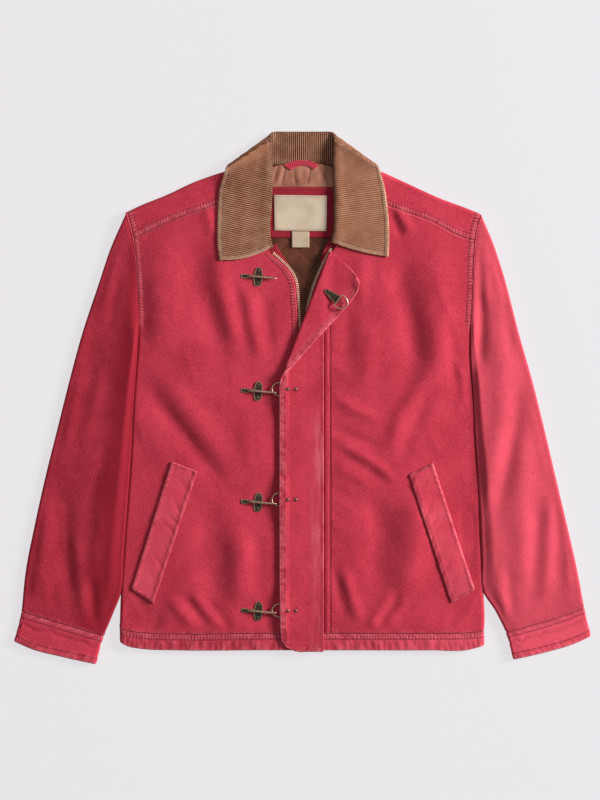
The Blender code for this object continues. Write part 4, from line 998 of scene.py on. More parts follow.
@dataclass
class Bench:
    """Turns surfaces, seams and small parts into the jacket's objects."""

    finishes: dict[str, bpy.types.Material]
    slots: dict[str, str] = field(default_factory=lambda: {
        "canvas": "red_canvas", "inside_canvas": "red_canvas", "corduroy": "tan_corduroy",
        "quilted": "brown_lining",
        "plain": "tan_lining", "label": "cream_label", "red_thread": "red_canvas",
        "tan_thread": "tan_corduroy",
        "cream_thread": "cream_label", "old_brass": "old_brass", "rubbed_brass": "old_brass",
        "copper": "old_brass", "zip_brass": "old_brass"})
    seams: dict[str, list[tuple[np.ndarray, np.ndarray]]] = field(default_factory=dict)
    made: list[str] = field(default_factory=list)

    def finish_mesh(self, mesh: bpy.types.Mesh, name: str, finish: str, nodes: Iterable[str],
                    body: str = JACKET) -> bpy.types.Object:
        """Make an object of a mesh, dress it and tie it to its body.

        Args:
            mesh: the mesh, in the frame's place.
            name: the object's name.
            finish: name of its finish.
            nodes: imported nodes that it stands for.
            body: the body that it rides on.

        Returns:
            The object.
        """
        mesh.materials.append(self.finishes[finish])
        mesh.shade_smooth()
        made = bpy.data.objects.new(name, mesh)
        bpy.context.scene.collection.objects.link(made)
        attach(made, body)
        if nodes:
            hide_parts(*nodes)
        self.made.append(name)
        return made

    def cloth(self, name: str, surface: Surface, finish: str, wall: float, flat: Flat) -> None:
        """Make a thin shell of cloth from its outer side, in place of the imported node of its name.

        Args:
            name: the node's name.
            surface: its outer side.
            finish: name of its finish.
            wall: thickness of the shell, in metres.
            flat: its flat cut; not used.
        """
        rows, columns = surface.points.shape[:2]
        bm = bmesh.new()
        uv = bm.loops.layers.uv.new("cloth")
        layers = {key: bm.verts.layers.float.new(key)
                  for key in ("worn", "dye_and_shade", "ladder", "run", "wale", "tone")}
        bmesh.ops.create_grid(bm, x_segments=columns - 1, y_segments=rows - 1, size=1.0)
        for vert, point in zip(bm.verts, surface.points.reshape(-1, 3)):
            vert.co = point
        for key, layer in layers.items():
            if key in surface.marks:
                for vert, value in zip(bm.verts, surface.marks[key].reshape(-1)):
                    vert[layer] = value
        spread = np.stack((surface.away(Side.FIRST), surface.away(Side.FOOT)), axis=-1).reshape(-1, 2)
        bm.verts.index_update()
        for face in bm.faces:
            for loop in face.loops:
                loop[uv].uv = spread[loop.vert.index]
        if surface.facing is Facing.AROUND:
            bmesh.ops.remove_doubles(bm, verts=bm.verts, dist=0.001 * MM)
        if surface.flipped():
            bmesh.ops.reverse_faces(bm, faces=bm.faces)
        mesh = bpy.data.meshes.new(name)
        bm.to_mesh(mesh)
        bm.free()
        made = self.finish_mesh(mesh, f"{name}_cloth", finish, (name,))
        shell = made.modifiers.new("wall", "SOLIDIFY")
        shell.thickness = wall
        shell.offset = -1.0

    def sew(self, thread: str, points: np.ndarray, normals: np.ndarray) -> None:
        """Remember a seam line that gets a row of stitches."""
        self.seams.setdefault(thread, []).append((points, normals))

    def sew_along(self, thread: str, surface: Surface, side: Side, rows: Iterable[float],
                  keep: tuple[float, float] = (0.0, 1.0)) -> None:
        """Remember rows of stitches beside a side of a piece.

        Args:
            thread: name of the thread's finish.
            surface: the piece.
            side: the side.
            rows: distances from the side, in metres.
            keep: part of the side's points that is sewn, as fractions.
        """
        for distance in rows:
            points, normals = surface.inset(side, distance)
            first, last = (round(share * len(points)) for share in keep)
            self.sew(thread, points[first:last], normals[first:last])

    def stitch(self, pitch: float = 3.2 * MM, length: float = 2.5 * MM, width: float = 0.62 * MM) -> None:
        """Sew every remembered seam: one joined mesh for each thread.

        Args:
            pitch: from one stitch to the next, in metres.
            length: length of a stitch.
            width: width of a stitch.
        """
        for thread, seams in self.seams.items():
            frames = np.concatenate([stitch_frames(points, normals, pitch, length, width)
                                     for points, normals in seams if len(points) > 1])
            frames[:, 3, 2] = np.maximum(frames[:, 3, 2], width / 2)
            self.finish_mesh(scatter(f"stitches_{thread}", capsule(), frames),
                             f"stitches_{thread}", thread, ())


def template(bm: bmesh.types.BMesh) -> Template:
    """Points and faces of a small shape, and free it."""
    bm.verts.index_update()
    verts = np.array([vert.co[:] for vert in bm.verts])
    faces = [[vert.index for vert in face.verts] for face in bm.faces]
    bm.free()
    return verts, faces


def capsule() -> Template:
    """A small ellipsoid of length, width and height one along X, Y and Z."""
    bm = bmesh.new()
    bmesh.ops.create_uvsphere(bm, u_segments=5, v_segments=4, radius=0.5)
    verts, faces = template(bm)
    return verts[:, (2, 0, 1)], faces


def stitch_frames(points: np.ndarray, normals: np.ndarray, pitch: float, length: float,
                  width: float) -> np.ndarray:
    """Frames of the stitches along a line: 4 by 3 numbers each, the three axes and the place."""
    run = run_along(points)
    at = np.arange(pitch * 0.6, run[-1] - pitch * 0.4, pitch)
    ahead = unit(read_along(points, run, at + length / 2) - read_along(points, run, at - length / 2))
    up = unit(read_along(normals, run, at))
    beside = unit(np.cross(up, ahead))
    tilt = 0.10 * beside
    place = read_along(points, run, at) + up * 0.05 * MM
    return np.stack((unit(ahead + tilt) * length, beside * width, up * width * 0.8, place), axis=1)


def scatter(name: str, shape: Template, frames: np.ndarray) -> bpy.types.Mesh:
    """Join copies of a small shape at frames into one mesh.

    Args:
        name: the mesh's name.
        shape: its points and faces.
        frames: three axes and a place for each copy.

    Returns:
        The mesh.
    """
    verts, faces = shape
    placed = np.einsum("vk,nkc->nvc", verts, frames[:, :3]) + frames[:, 3][:, None]
    joined = [[index + copy * len(verts) for index in face] for copy in range(len(frames)) for face in faces]
    mesh = bpy.data.meshes.new(name)
    mesh.from_pydata(placed.reshape(-1, 3).tolist(), [], joined)
    return mesh


class Assembly:
    """A part of the jacket, built piece by piece on a bench."""

    def __init__(self, bench: Bench) -> None:
        """Keep the bench that makes the pieces."""
        self.bench = bench


# ---------------------------------------------------------------- body

def body_edge(side: Wearer) -> list[tuple[float, float]]:
    """Side edge and armhole of the body on one side, hem to shoulder."""
    return edge_rows(tuple(CUT.sides) + tuple(CUT.armholes[1:]), side)


def side_share(rows_y: np.ndarray) -> np.ndarray:
    """One below the underarm, where the body's edge rolls over, and zero along the armhole."""
    return 1.0 - smoothstep((rows_y - (CUT.underarm_y - 22) * MM) / (20 * MM))


def respace(grid: np.ndarray, first: np.ndarray | float, last: np.ndarray | float, fractions: np.ndarray,
            axis: int = 1) -> np.ndarray:
    """Space the columns (axis 1) or rows (axis 0) of a grid anew, between two distances inside its ends.

    Args:
        grid: plane points by row and column.
        first: distance from the first column where the new ones begin, one for all rows or one for each.
        last: distance from the last column where they end.
        fractions: places of the new columns between those two.
        axis: 1 for columns, 0 for rows.

    Returns:
        The new grid.
    """
    lines = grid if axis == 1 else grid.swapaxes(0, 1)
    firsts, lasts = (np.broadcast_to(value, len(lines)) for value in (first, last))
    made = []
    for line, start, end in zip(lines, firsts, lasts):
        run = run_along(line)
        made.append(read_along(line, run, start + (run[-1] - start - end) * fractions))
    grid = np.array(made)
    return grid if axis == 1 else grid.swapaxes(0, 1)


def rolled(grid: np.ndarray, share: np.ndarray, upper: bool, last: bool = False,
           steps: int = 8) -> np.ndarray:
    """Outer points of a body panel whose edges roll over to the side seams.

    Args:
        grid: plane points, up to where the rolls begin.
        share: one where the edge rolls over and zero where it stays flat, for each row.
        upper: whether it is a front, or the back.
        last: whether the last edge rolls over as well as the first.
        steps: columns of a roll.

    Returns:
        The outer points.
    """
    angles = math.pi / 2 * np.arange(1, steps + 1) / steps
    reach = CUT.edge_radius * (share[:, None] * np.sin(angles)
                               + (1 - share[:, None]) * np.arange(1, steps + 1) / steps)
    turn = angles * share[:, None]
    first_out = unit(grid[:, 0] - grid[:, 1])
    planes = [(grid[:, :1] + first_out[:, None] * reach[..., None])[:, ::-1], grid]
    turns = [turn[:, ::-1], np.zeros(grid.shape[:2])]
    bases = [np.repeat(grid[:, :1], steps, axis=1), grid]
    if last:
        last_out = unit(grid[:, -1] - grid[:, -2])
        planes.append(grid[:, -1:] + last_out[:, None] * reach[..., None])
        turns.append(turn)
        bases.append(np.repeat(grid[:, -1:], steps, axis=1))
    plane, turned, base = (np.concatenate(parts, axis=1) for parts in (planes, turns, bases))
    sign = 1.0 if upper else -1.0
    top = Lay.front_top(*xy(base)) if upper else Lay.body_top(*xy(base))
    floor = Lay.lift(*xy(base))
    middle = (top + floor) / 2 + sign * CUT.seam / 2 * np.sin(turned)
    return lay_on(plane, middle + sign * (top - floor) / 2 * np.cos(turned))


class Bodice(Assembly):
    """Fronts, hem bands, shoulder panels and back."""

    SHELL = 1.3 * MM
    # Rows of stitches beside the seams, beside the zip and below the hem seam
    SEAM_ROWS = (1.6 * MM, 7.8 * MM)
    EDGE_ROWS = (2.6 * MM, 8.6 * MM)
    HEM_ROWS = (1.6 * MM, 8.0 * MM)
    # x of the two rows that hold the flap
    FLAP_ROWS = (34.1, 38.9)

    def front(self, side: Wearer) -> None:
        """Build one front, from its side edge and armhole to the zip, below the forward shoulder seam."""
        right = side is Wearer.RIGHT
        seam = of_side(CUT.forward_seams, side)
        outer = part_of(body_edge(side), -345 if right else -350, seam[0][1])[:-1] + seam[:1]
        foot = between(hem_rows(1), outer[0][0], -7) if right else between(hem_rows(1), 9, outer[0][0])[::-1]
        inner = (of_side(CUT.front_necks, side)[:-1] + of_side(CUT.front_edges, side))[::-1]
        grid = patch(foot, seam, outer, inner, np.linspace(0, 1, 40), np.linspace(0, 1, 120))
        grid = respace(grid, CUT.seam / 2, CUT.seam / 2, spaced(590, 1.3, 3.3, 13), axis=0)
        share = side_share(grid[:, 0, 1])
        across = spaced(240, 1.3, 3.1, 13)
        if not right:
            across = np.unique(np.concatenate((across, np.linspace(1 - 42 / 240, 1 - 14 / 240, 22))))
        grid = respace(grid, CUT.edge_radius + CUT.seam / 2 * (1 - share), 0.0, across)
        surface = Surface(rolled(grid, share, upper=True))
        armhole = 1 - np.broadcast_to(share[:, None], surface.points.shape[:2])
        Sewn(self.SEAM_ROWS, seed=side.value + 3).work(surface, Side.FIRST, armhole)
        Sewn((), width=5 * MM, drop=0.6 * MM, swell=0.3 * MM, pucker=0.2 * MM, worn=0.55,
             seed=5).work(surface, Side.HEAD)
        Sewn((), width=5 * MM, drop=0.7 * MM, swell=0.35 * MM, pucker=0.25 * MM, worn=0.7,
             seed=6).work(surface, Side.FOOT)
        below_collar = 1 - ease(surface.y, CUT.collar_front_y, CUT.collar_front_fade)
        Sewn(self.EDGE_ROWS, drop=0.8 * MM, pucker=0.3 * MM, worn=0.5,
             seed=7).work(surface, Side.LAST, below_collar)
        if not right:
            self._flap_seam(surface)
        name = f"front_{side.word}"
        self.bench.cloth(name, surface, "canvas", self.SHELL, Flat(0.27, 0.61, 0.141, "laid", ("back",)))
        begin = float(np.mean(grid[:, 0, 1] < (CUT.underarm_y - 8) * MM))
        self.bench.sew_along("red_thread", surface, Side.FIRST, self.SEAM_ROWS, (begin, 1.0))
        end = float(np.mean(surface.points[:, -1, 1] < 208 * MM))
        self.bench.sew_along("red_thread", surface, Side.LAST, self.EDGE_ROWS, (0.0, end))

    def _flap_seam(self, surface: Surface) -> None:
        """Work the seam that holds the flap: a ridge between two grooves, with its stitches."""
        x, y = surface.x / MM, surface.y / MM
        shown = smoothstep((175 - y) / 12)
        uneven = 0.75 + 0.25 * rough(surface.x, surface.y, 11 * MM, 4)
        ridge = np.exp(-(np.abs(x - 36.5) / 2.9) ** 4)
        grooves = bell(x - 32.4, 1.5) + bell(x - 41.0, 1.5) + 0.5 * bell(x - 36.0, 0.9)
        puckers = np.sin(2 * math.pi * (y / 7.5 + 0.7 * rough(surface.y, 0 * x, 22 * MM, 2)))
        beside = bell(x - 45.0, 4.5)
        surface.raise_by(MM * shown * (1.0 * ridge * uneven - 0.8 * grooves + 0.3 * beside * puckers))
        surface.mark("worn", shown * (0.4 * bell(x - 39.0, 1.4) * uneven * (0.6 + 0.4 * puckers)))
        # The grooves beside the ridge are painted darker: partly dye, partly painted shade.
        surface.mark("dye_and_shade", shown * np.clip(0.8 * grooves, 0, 1))
        ys = np.arange(-350, 160, 2.0) * MM
        for at in self.FLAP_ROWS:
            line = np.stack((np.full_like(ys, at * MM), ys), axis=1)
            height = Lay.front_top(*xy(line)) + 0.5 * MM
            self.bench.sew("red_thread", lay_on(line, height), np.tile((0.0, 0.0, 1.0), (len(ys), 1)))

    def front_hem(self, side: Wearer) -> None:
        """Build the hem band of one front."""
        right = side is Wearer.RIGHT
        low_x = -274 if right else 272
        seam = between(hem_rows(1), low_x, -7) if right else between(hem_rows(1), 9, low_x)[::-1]
        edge = between(hem_rows(2), low_x + 2, -7) if right else between(hem_rows(2), 9, low_x - 1)[::-1]
        grid = patch(edge, seam, [edge[0], seam[0]], [edge[-1], seam[-1]], np.linspace(0, 1, 40),
                     np.linspace(0, 1, 14))
        grid = respace(grid, 0.0, CUT.seam / 2, np.linspace(0, 1, 21), axis=0)
        grid = respace(grid, CUT.edge_radius, 0.0, spaced(255, 1.3, 2.0, 8))
        surface = Surface(rolled(grid, np.ones(len(grid)), upper=True))
        self._work_hem(surface)
        name = f"hem_{side.word}"
        self.bench.cloth(name, surface, "canvas", self.SHELL,
                         Flat(0.275, 0.032, 0.0072, "laid", ("hem_back",)))

    def _work_hem(self, surface: Surface) -> None:
        """Work a hem band: two rows below the seam, and a thick roped edge."""
        upper = Sewn(self.HEM_ROWS, width=9 * MM, pucker=0.42 * MM, pitch=8 * MM, drop=0.8 * MM, seed=11,
                     slant=0.9)
        upper.work(surface, Side.HEAD)
        Sewn((), width=14 * MM, pucker=0.8 * MM, pitch=9 * MM, drop=1.0 * MM, swell=0.4 * MM, worn=1.7,
             seed=12,
             slant=-0.15).work(surface, Side.FOOT)
        # Painted light: the hem band is painted paler and lighter towards the wearer's left, the side of the
        # key light.
        faded = ease(surface.x, -60, 300)
        surface.mark("tone", 0.06 + 0.36 * faded)
        surface.mark("worn", 0.24 * faded)
        self.bench.sew_along("red_thread", surface, Side.HEAD, self.HEM_ROWS)

    def shoulder(self, side: Wearer) -> None:
        """Build a shoulder panel: from the forward seam over the shoulder fold to the seam under the back."""
        grid = self.shoulder_grid(side, np.linspace(0, 1, 26), np.linspace(0, 1, 60))
        grid = respace(grid, CUT.seam / 2, CUT.seam / 2, spaced(205, 1.3, 3.0, 12), axis=0)
        grid = respace(grid, CUT.seam / 2, CUT.edge_radius, spaced(42, 1.2, 2.4, 11))
        outward = unit(grid[:, -1] - grid[:, -2])
        base = grid[:, -1]
        top, floor = Lay.body_top(*xy(base)), Lay.lift(*xy(base))
        middle, half = (top + floor) / 2, (top - floor) / 2
        parts = [lay_on(grid, Lay.front_top(*xy(grid)))]
        for step in range(1, 13):
            angle = math.pi * step / 12
            plane = base + outward * CUT.edge_radius * math.sin(angle)
            parts.append(lay_on(plane, middle + half * math.cos(angle))[:, None])
        for reach in np.linspace(3 * MM, CUT.shoulder_underlap - 1.2 * MM, 6):
            plane = base - outward * reach
            parts.append(lay_on(plane, Lay.lift(*xy(plane)))[:, None])
        surface = Surface(np.concatenate(parts, axis=1))
        Sewn(self.SEAM_ROWS, pucker=0.24 * MM, drop=0.6 * MM, seed=15).work(surface, Side.FIRST)
        Sewn(self.SEAM_ROWS, pucker=0.2 * MM, drop=0.6 * MM, seed=16).work(surface, Side.FOOT)
        surface.keep_above()
        name = f"shoulder_{side.word}"
        self.bench.cloth(name, surface, "canvas", self.SHELL, Flat(0.215, 0.085, 0.0165, "folded", ("back",)))
        self.bench.sew_along("red_thread", surface, Side.FIRST, self.SEAM_ROWS)
        self.bench.sew_along("red_thread", surface, Side.FOOT, self.SEAM_ROWS)

    @staticmethod
    def shoulder_grid(side: Wearer, u: np.ndarray, v: np.ndarray) -> np.ndarray:
        """Plane points of a shoulder panel: a row for each place from the armhole to the neck."""
        seam, fold = of_side(CUT.forward_seams, side), of_side(CUT.shoulder_folds, side)
        armhole = [seam[0], edge_rows(CUT.armholes, side)[-2], fold[0]]
        return patch(armhole, [seam[-1], fold[-1]], seam, fold, u, v)

    def back(self) -> None:
        """Build the back panel: flat on the ground, its side edges rolled up to the side seams."""
        lines = []
        for side in (Wearer.RIGHT, Wearer.LEFT):
            grid = self.shoulder_grid(side, np.linspace(0, 1, 4), np.linspace(0, 1, 12))
            inward = unit(grid[:, -2] - grid[:, -1])
            line = grid[:, -1] + inward * (CUT.edge_radius + CUT.shoulder_underlap)
            lines.append([tuple(point) for point in line / MM])
        head = lines[0][:-1] + list(CUT.back_neck) + lines[1][-2::-1]
        right = part_of(body_edge(Wearer.RIGHT), -345, head[0][1])
        left = part_of(body_edge(Wearer.LEFT), -350, head[-1][1])
        foot = between(hem_rows(1), right[0][0], left[0][0])
        grid = patch(foot, head, right, left, np.linspace(0, 1, 90), np.linspace(0, 1, 120))
        grid = respace(grid, CUT.seam / 2, CUT.seam, spaced(650, 1.6, 6.0, 12), axis=0)
        share = side_share(grid[:, 0, 1])
        inset = CUT.edge_radius + CUT.seam / 2 * (1 - share)
        grid = respace(grid, inset, inset, spaced(500, 1.6, 6.0, 12))
        surface = Surface(rolled(grid, share, upper=False, last=True), Facing.DOWN)
        armhole = 1 - np.broadcast_to(share[:, None], surface.points.shape[:2])
        for end in (Side.FIRST, Side.LAST):
            Sewn(self.SEAM_ROWS, swell=0.0, drop=-0.5 * MM, pucker=0.1 * MM).work(surface, end, armhole)
        for end in (Side.FOOT, Side.HEAD):
            Sewn(self.SEAM_ROWS, swell=0.0, drop=0.5 * MM, pucker=0.0, seed=18).work(surface, end)
        surface.keep_above()
        self.bench.cloth("back", surface, "canvas", self.SHELL, Flat(0.56, 0.71, 0.345, "laid", ()))
        self.bench.sew_along("red_thread", surface, Side.HEAD, self.SEAM_ROWS)

    def back_hem(self) -> None:
        """Build the hem band of the back."""
        seam, edge = hem_rows(1), between(hem_rows(2), -272, 271)
        grid = patch(edge, seam, [edge[0], seam[0]], [edge[-1], seam[-1]], np.linspace(0, 1, 90),
                     np.linspace(0, 1, 12))
        grid = respace(grid, 0.0, CUT.seam / 2, np.linspace(0, 1, 13), axis=0)
        grid = respace(grid, CUT.edge_radius, CUT.edge_radius, spaced(530, 1.6, 4.0, 8))
        surface = Surface(rolled(grid, np.ones(len(grid)), upper=False, last=True), Facing.DOWN)
        surface.keep_above()
        self.bench.cloth("hem_back", surface, "canvas", self.SHELL,
                         Flat(0.56, 0.032, 0.0146, "laid", ()))

    def build(self) -> None:
        """Build every panel of the body."""
        for side in Wearer:
            self.front(side)
            self.front_hem(side)
            self.shoulder(side)
        self.back()
        self.back_hem()


# ---------------------------------------------------------------- sleeves

class Sleeves(Assembly):
    """Sleeves and cuffs: flattened tubes."""

    SLEEVE_SHELL = 0.96 * MM
    CUFF_SHELL = 1.2 * MM
    # Rows of stitches below the cuff's seam and above its edge
    SEAM_ROWS = (1.6 * MM, 7.8 * MM)
    EDGE_ROWS = (9.2 * MM,)
    # Painted light and shade by side, the key light being on the wearer's left: the right sleeve is painted
    # darker than the body and the left one lighter; the cuffs are paler, partly fade, the left one more as
    # painted light; the left sleeve and cuff are also painted paler and duller, a painted sheen
    TONE = {Wearer.RIGHT: -0.2, Wearer.LEFT: 0.12}
    CUFF_TONE = {Wearer.RIGHT: 0.20, Wearer.LEFT: 0.5}
    PAINTED_SHEEN = {Wearer.RIGHT: 0.0, Wearer.LEFT: 0.24}
    # Painted shadow of the body: how much darker the cloth is painted towards the body's edge
    SHADED = {Wearer.RIGHT: 0.4, Wearer.LEFT: 0.0}
    # Least height of the cloth over the ground
    CLEAR = 0.6 * MM
    # Steps round a tube's rolled edge
    ROLL_STEPS = 9

    @staticmethod
    def crest(across: np.ndarray) -> np.ndarray:
        """Shape across a sleeve, from its outer to its inner edge: it rises towards the body."""
        return (across / 0.9) ** 1.25 * (1 - 0.55 * smoothstep((across - 0.86) / 0.14))

    def sleeve_height(self, plane: np.ndarray, u: np.ndarray, v: np.ndarray) -> np.ndarray:
        """Height of a sleeve's upper side: that of the body at the armhole, then its own loft and folds."""
        x, y = xy(plane)
        across, down = u[None], v[:, None]
        loft = 0.8 * MM + 9.6 * MM * self.crest(across) * (1 - 0.72 * smoothstep((down - 0.7) / 0.3))
        away = smoothstep(across / 0.12) * smoothstep((1 - across) / 0.1)
        soft = (FOLD_GAIN * folded(x, y, SLEEVE_FOLDS, spread=FOLD_SPREAD)
                + 0.3 * MM * rough(x, y, 24 * MM, 9)
                + 0.1 * MM * rough(x, y, 9 * MM, 19))
        own = CUT.sleeve_base + loft + soft * away
        own = np.maximum(own, CUT.sleeve_base + 0.3 * MM)
        head = 1.0 - smoothstep(down / 0.13)
        return own + (Lay.body_top(x, y) + 1.0 * MM * smoothstep(down / 0.02) - own) * head

    def cuff_height(self, plane: np.ndarray, u: np.ndarray, v: np.ndarray) -> np.ndarray:
        """Height of a cuff's upper side."""
        return CUT.sleeve_base + 0.8 * MM + 2.4 * MM * self.crest(u[None]) + np.zeros(plane.shape[:2])

    def tube(self, grid: np.ndarray, u: np.ndarray, v: np.ndarray, height: HeightOf) -> Surface:
        """Rings of a flattened tube, whose two edges are soft rolls and whose underside is flat.

        Args:
            grid: plane points of its upper side.
            u: fractions across it.
            v: fractions down it.
            height: gives the upper side's height.

        Returns:
            The tube's outer side.
        """
        radii = (CUT.sleeve_outer_radius, CUT.sleeve_inner_radius)
        grid = respace(grid, radii[0], radii[1], u)
        top = height(grid, u, v)
        first_out, last_out = unit(grid[:, 0] - grid[:, 1]), unit(grid[:, -1] - grid[:, -2])
        parts = [lay_on(grid, top)]
        for end, outward, radius in ((-1, last_out, radii[1]), (0, first_out, radii[0])):
            middle = top[:, end] / 2
            for step in range(1, self.ROLL_STEPS):
                angle = math.pi * step / self.ROLL_STEPS
                angle = angle if end == -1 else math.pi - angle
                plane = grid[:, end] + outward * radius * math.sin(angle)
                parts.append(lay_on(plane, middle * (1 + math.cos(angle)))[:, None])
            if end == -1:
                under = grid[:, ::-1][:, 4:-4:3]
                parts.append(lay_on(under, 0.0))
        parts.append(parts[0][:, :1])
        return Surface(np.concatenate(parts, axis=1), Facing.AROUND)

    def sleeve(self, side: Wearer) -> None:
        """Build one sleeve, from the armhole to the cuff seam."""
        outer, inner = of_side(CUT.sleeve_outers, side), self.inner_edge(side)
        head = [outer[0]] + edge_rows(CUT.armholes, side)[-2:0:-1] + [inner[0]]
        grid = patch(head, of_side(CUT.cuff_seams, side), outer, inner, np.linspace(0, 1, 40),
                     np.linspace(0, 1, 120))
        v = spaced(610, 1.3, 3.4, 12)
        grid = respace(grid, CUT.armhole_seam, CUT.seam / 2, v, axis=0)
        surface = self.tube(grid, spaced(130, 1.6, 2.8, 7), v, self.sleeve_height)
        Sewn((), width=4.5 * MM, drop=1.2 * MM, swell=0.8 * MM, pucker=0.35 * MM, worn=0.8,
             seed=21).work(surface, Side.FOOT)
        Sewn((), width=5 * MM, drop=0.7 * MM, swell=0.3 * MM, pucker=0.35 * MM, worn=0.7,
             seed=22).work(surface, Side.HEAD)
        surface.keep_above(self.CLEAR)
        edges = [np.interp(surface.y, *zip(*sorted((y * MM, abs(x) * MM) for x, y in line)))
                 for line in (outer, inner)]
        across = (edges[0] - np.abs(surface.x)) / (edges[0] - edges[1])
        # Painted light and shade: lighter or darker by side, and darker towards the body's edge as the body's
        # painted shadow
        surface.mark("tone", self.TONE[side] - self.SHADED[side] * smoothstep((across - 0.5) / 0.4))
        # Painted sheen: the left sleeve is painted paler and duller with the worn colour
        surface.mark("worn", self.PAINTED_SHEEN[side])
        name = f"sleeve_{side.word}"
        self.bench.cloth(name, surface, "canvas", self.SLEEVE_SHELL, Flat(0.36, 0.62, 0.155, "laid", ()))

    def cuff(self, side: Wearer) -> None:
        """Build one cuff."""
        seam, edge = of_side(CUT.cuff_seams, side), of_side(CUT.cuff_edges, side)
        grid = patch(seam, edge, [seam[0], edge[0]], [seam[-1], edge[-1]], np.linspace(0, 1, 40),
                     np.linspace(0, 1, 20))
        v = np.linspace(0, 1, 34)
        grid = respace(grid, CUT.seam / 2, 0.0, v, axis=0)
        surface = self.tube(grid, spaced(135, 1.6, 2.2, 7), v, self.cuff_height)
        Sewn(self.SEAM_ROWS, pucker=0.4 * MM, drop=0.8 * MM, seed=24, slant=1.2,
             rungs=0.4).work(surface, Side.FOOT)
        run, away = surface.away(Side.FIRST), surface.away(Side.FOOT)
        wave = 17 * MM + 3.5 * MM * rough(run, 0 * run, 9 * MM, 26 + side.value)
        surface.raise_by(-0.9 * MM * bell(away - wave, 3.2 * MM)
                         * (0.7 + 0.6 * rough(run, away, 14 * MM, 27)))
        # The crease across the cuff is painted darker: partly dye, partly painted shade.
        surface.mark("dye_and_shade", 0.35 * bell(away - wave, 2.5 * MM))
        Sewn(self.EDGE_ROWS, width=11 * MM, pucker=0.7 * MM, drop=1.0 * MM, swell=0.4 * MM, worn=1.6, seed=25,
             slant=-0.5).work(surface, Side.HEAD)
        surface.keep_above(self.CLEAR)
        # Painted light: the cuffs are painted paler, partly fade, the left one more; the left one also gets a
        # painted sheen
        surface.mark("tone", self.CUFF_TONE[side])
        surface.mark("worn", self.PAINTED_SHEEN[side])
        name = f"cuff_{side.word}"
        self.bench.cloth(name, surface, "canvas", self.CUFF_SHELL, Flat(0.29, 0.055, 0.0125, "laid", ()))
        self.bench.sew_along("red_thread", surface, Side.FOOT, self.SEAM_ROWS)
        self.bench.sew_along("red_thread", surface, Side.HEAD, self.EDGE_ROWS)

    @staticmethod
    def inner_edge(side: Wearer) -> list[tuple[float, float]]:
        """Inner edge of a sleeve: beside the body's edge, then free down to the cuff."""
        xs, ys = zip(*edge_rows(CUT.sides, side))
        heights = (CUT.underarm_y - 2, 60, 0, -60, -120, -180, -240, CUT.sleeve_leaves_body_y)
        beside = [(float(np.interp(y, ys, xs)) + side.value * CUT.sleeve_tuck, y) for y in heights]
        return beside + of_side(CUT.sleeve_inners, side)

    def build(self) -> None:
        """Build both sleeves and both cuffs."""
        for side in Wearer:
            self.sleeve(side)
            self.cuff(side)


# ---------------------------------------------------------------- collar

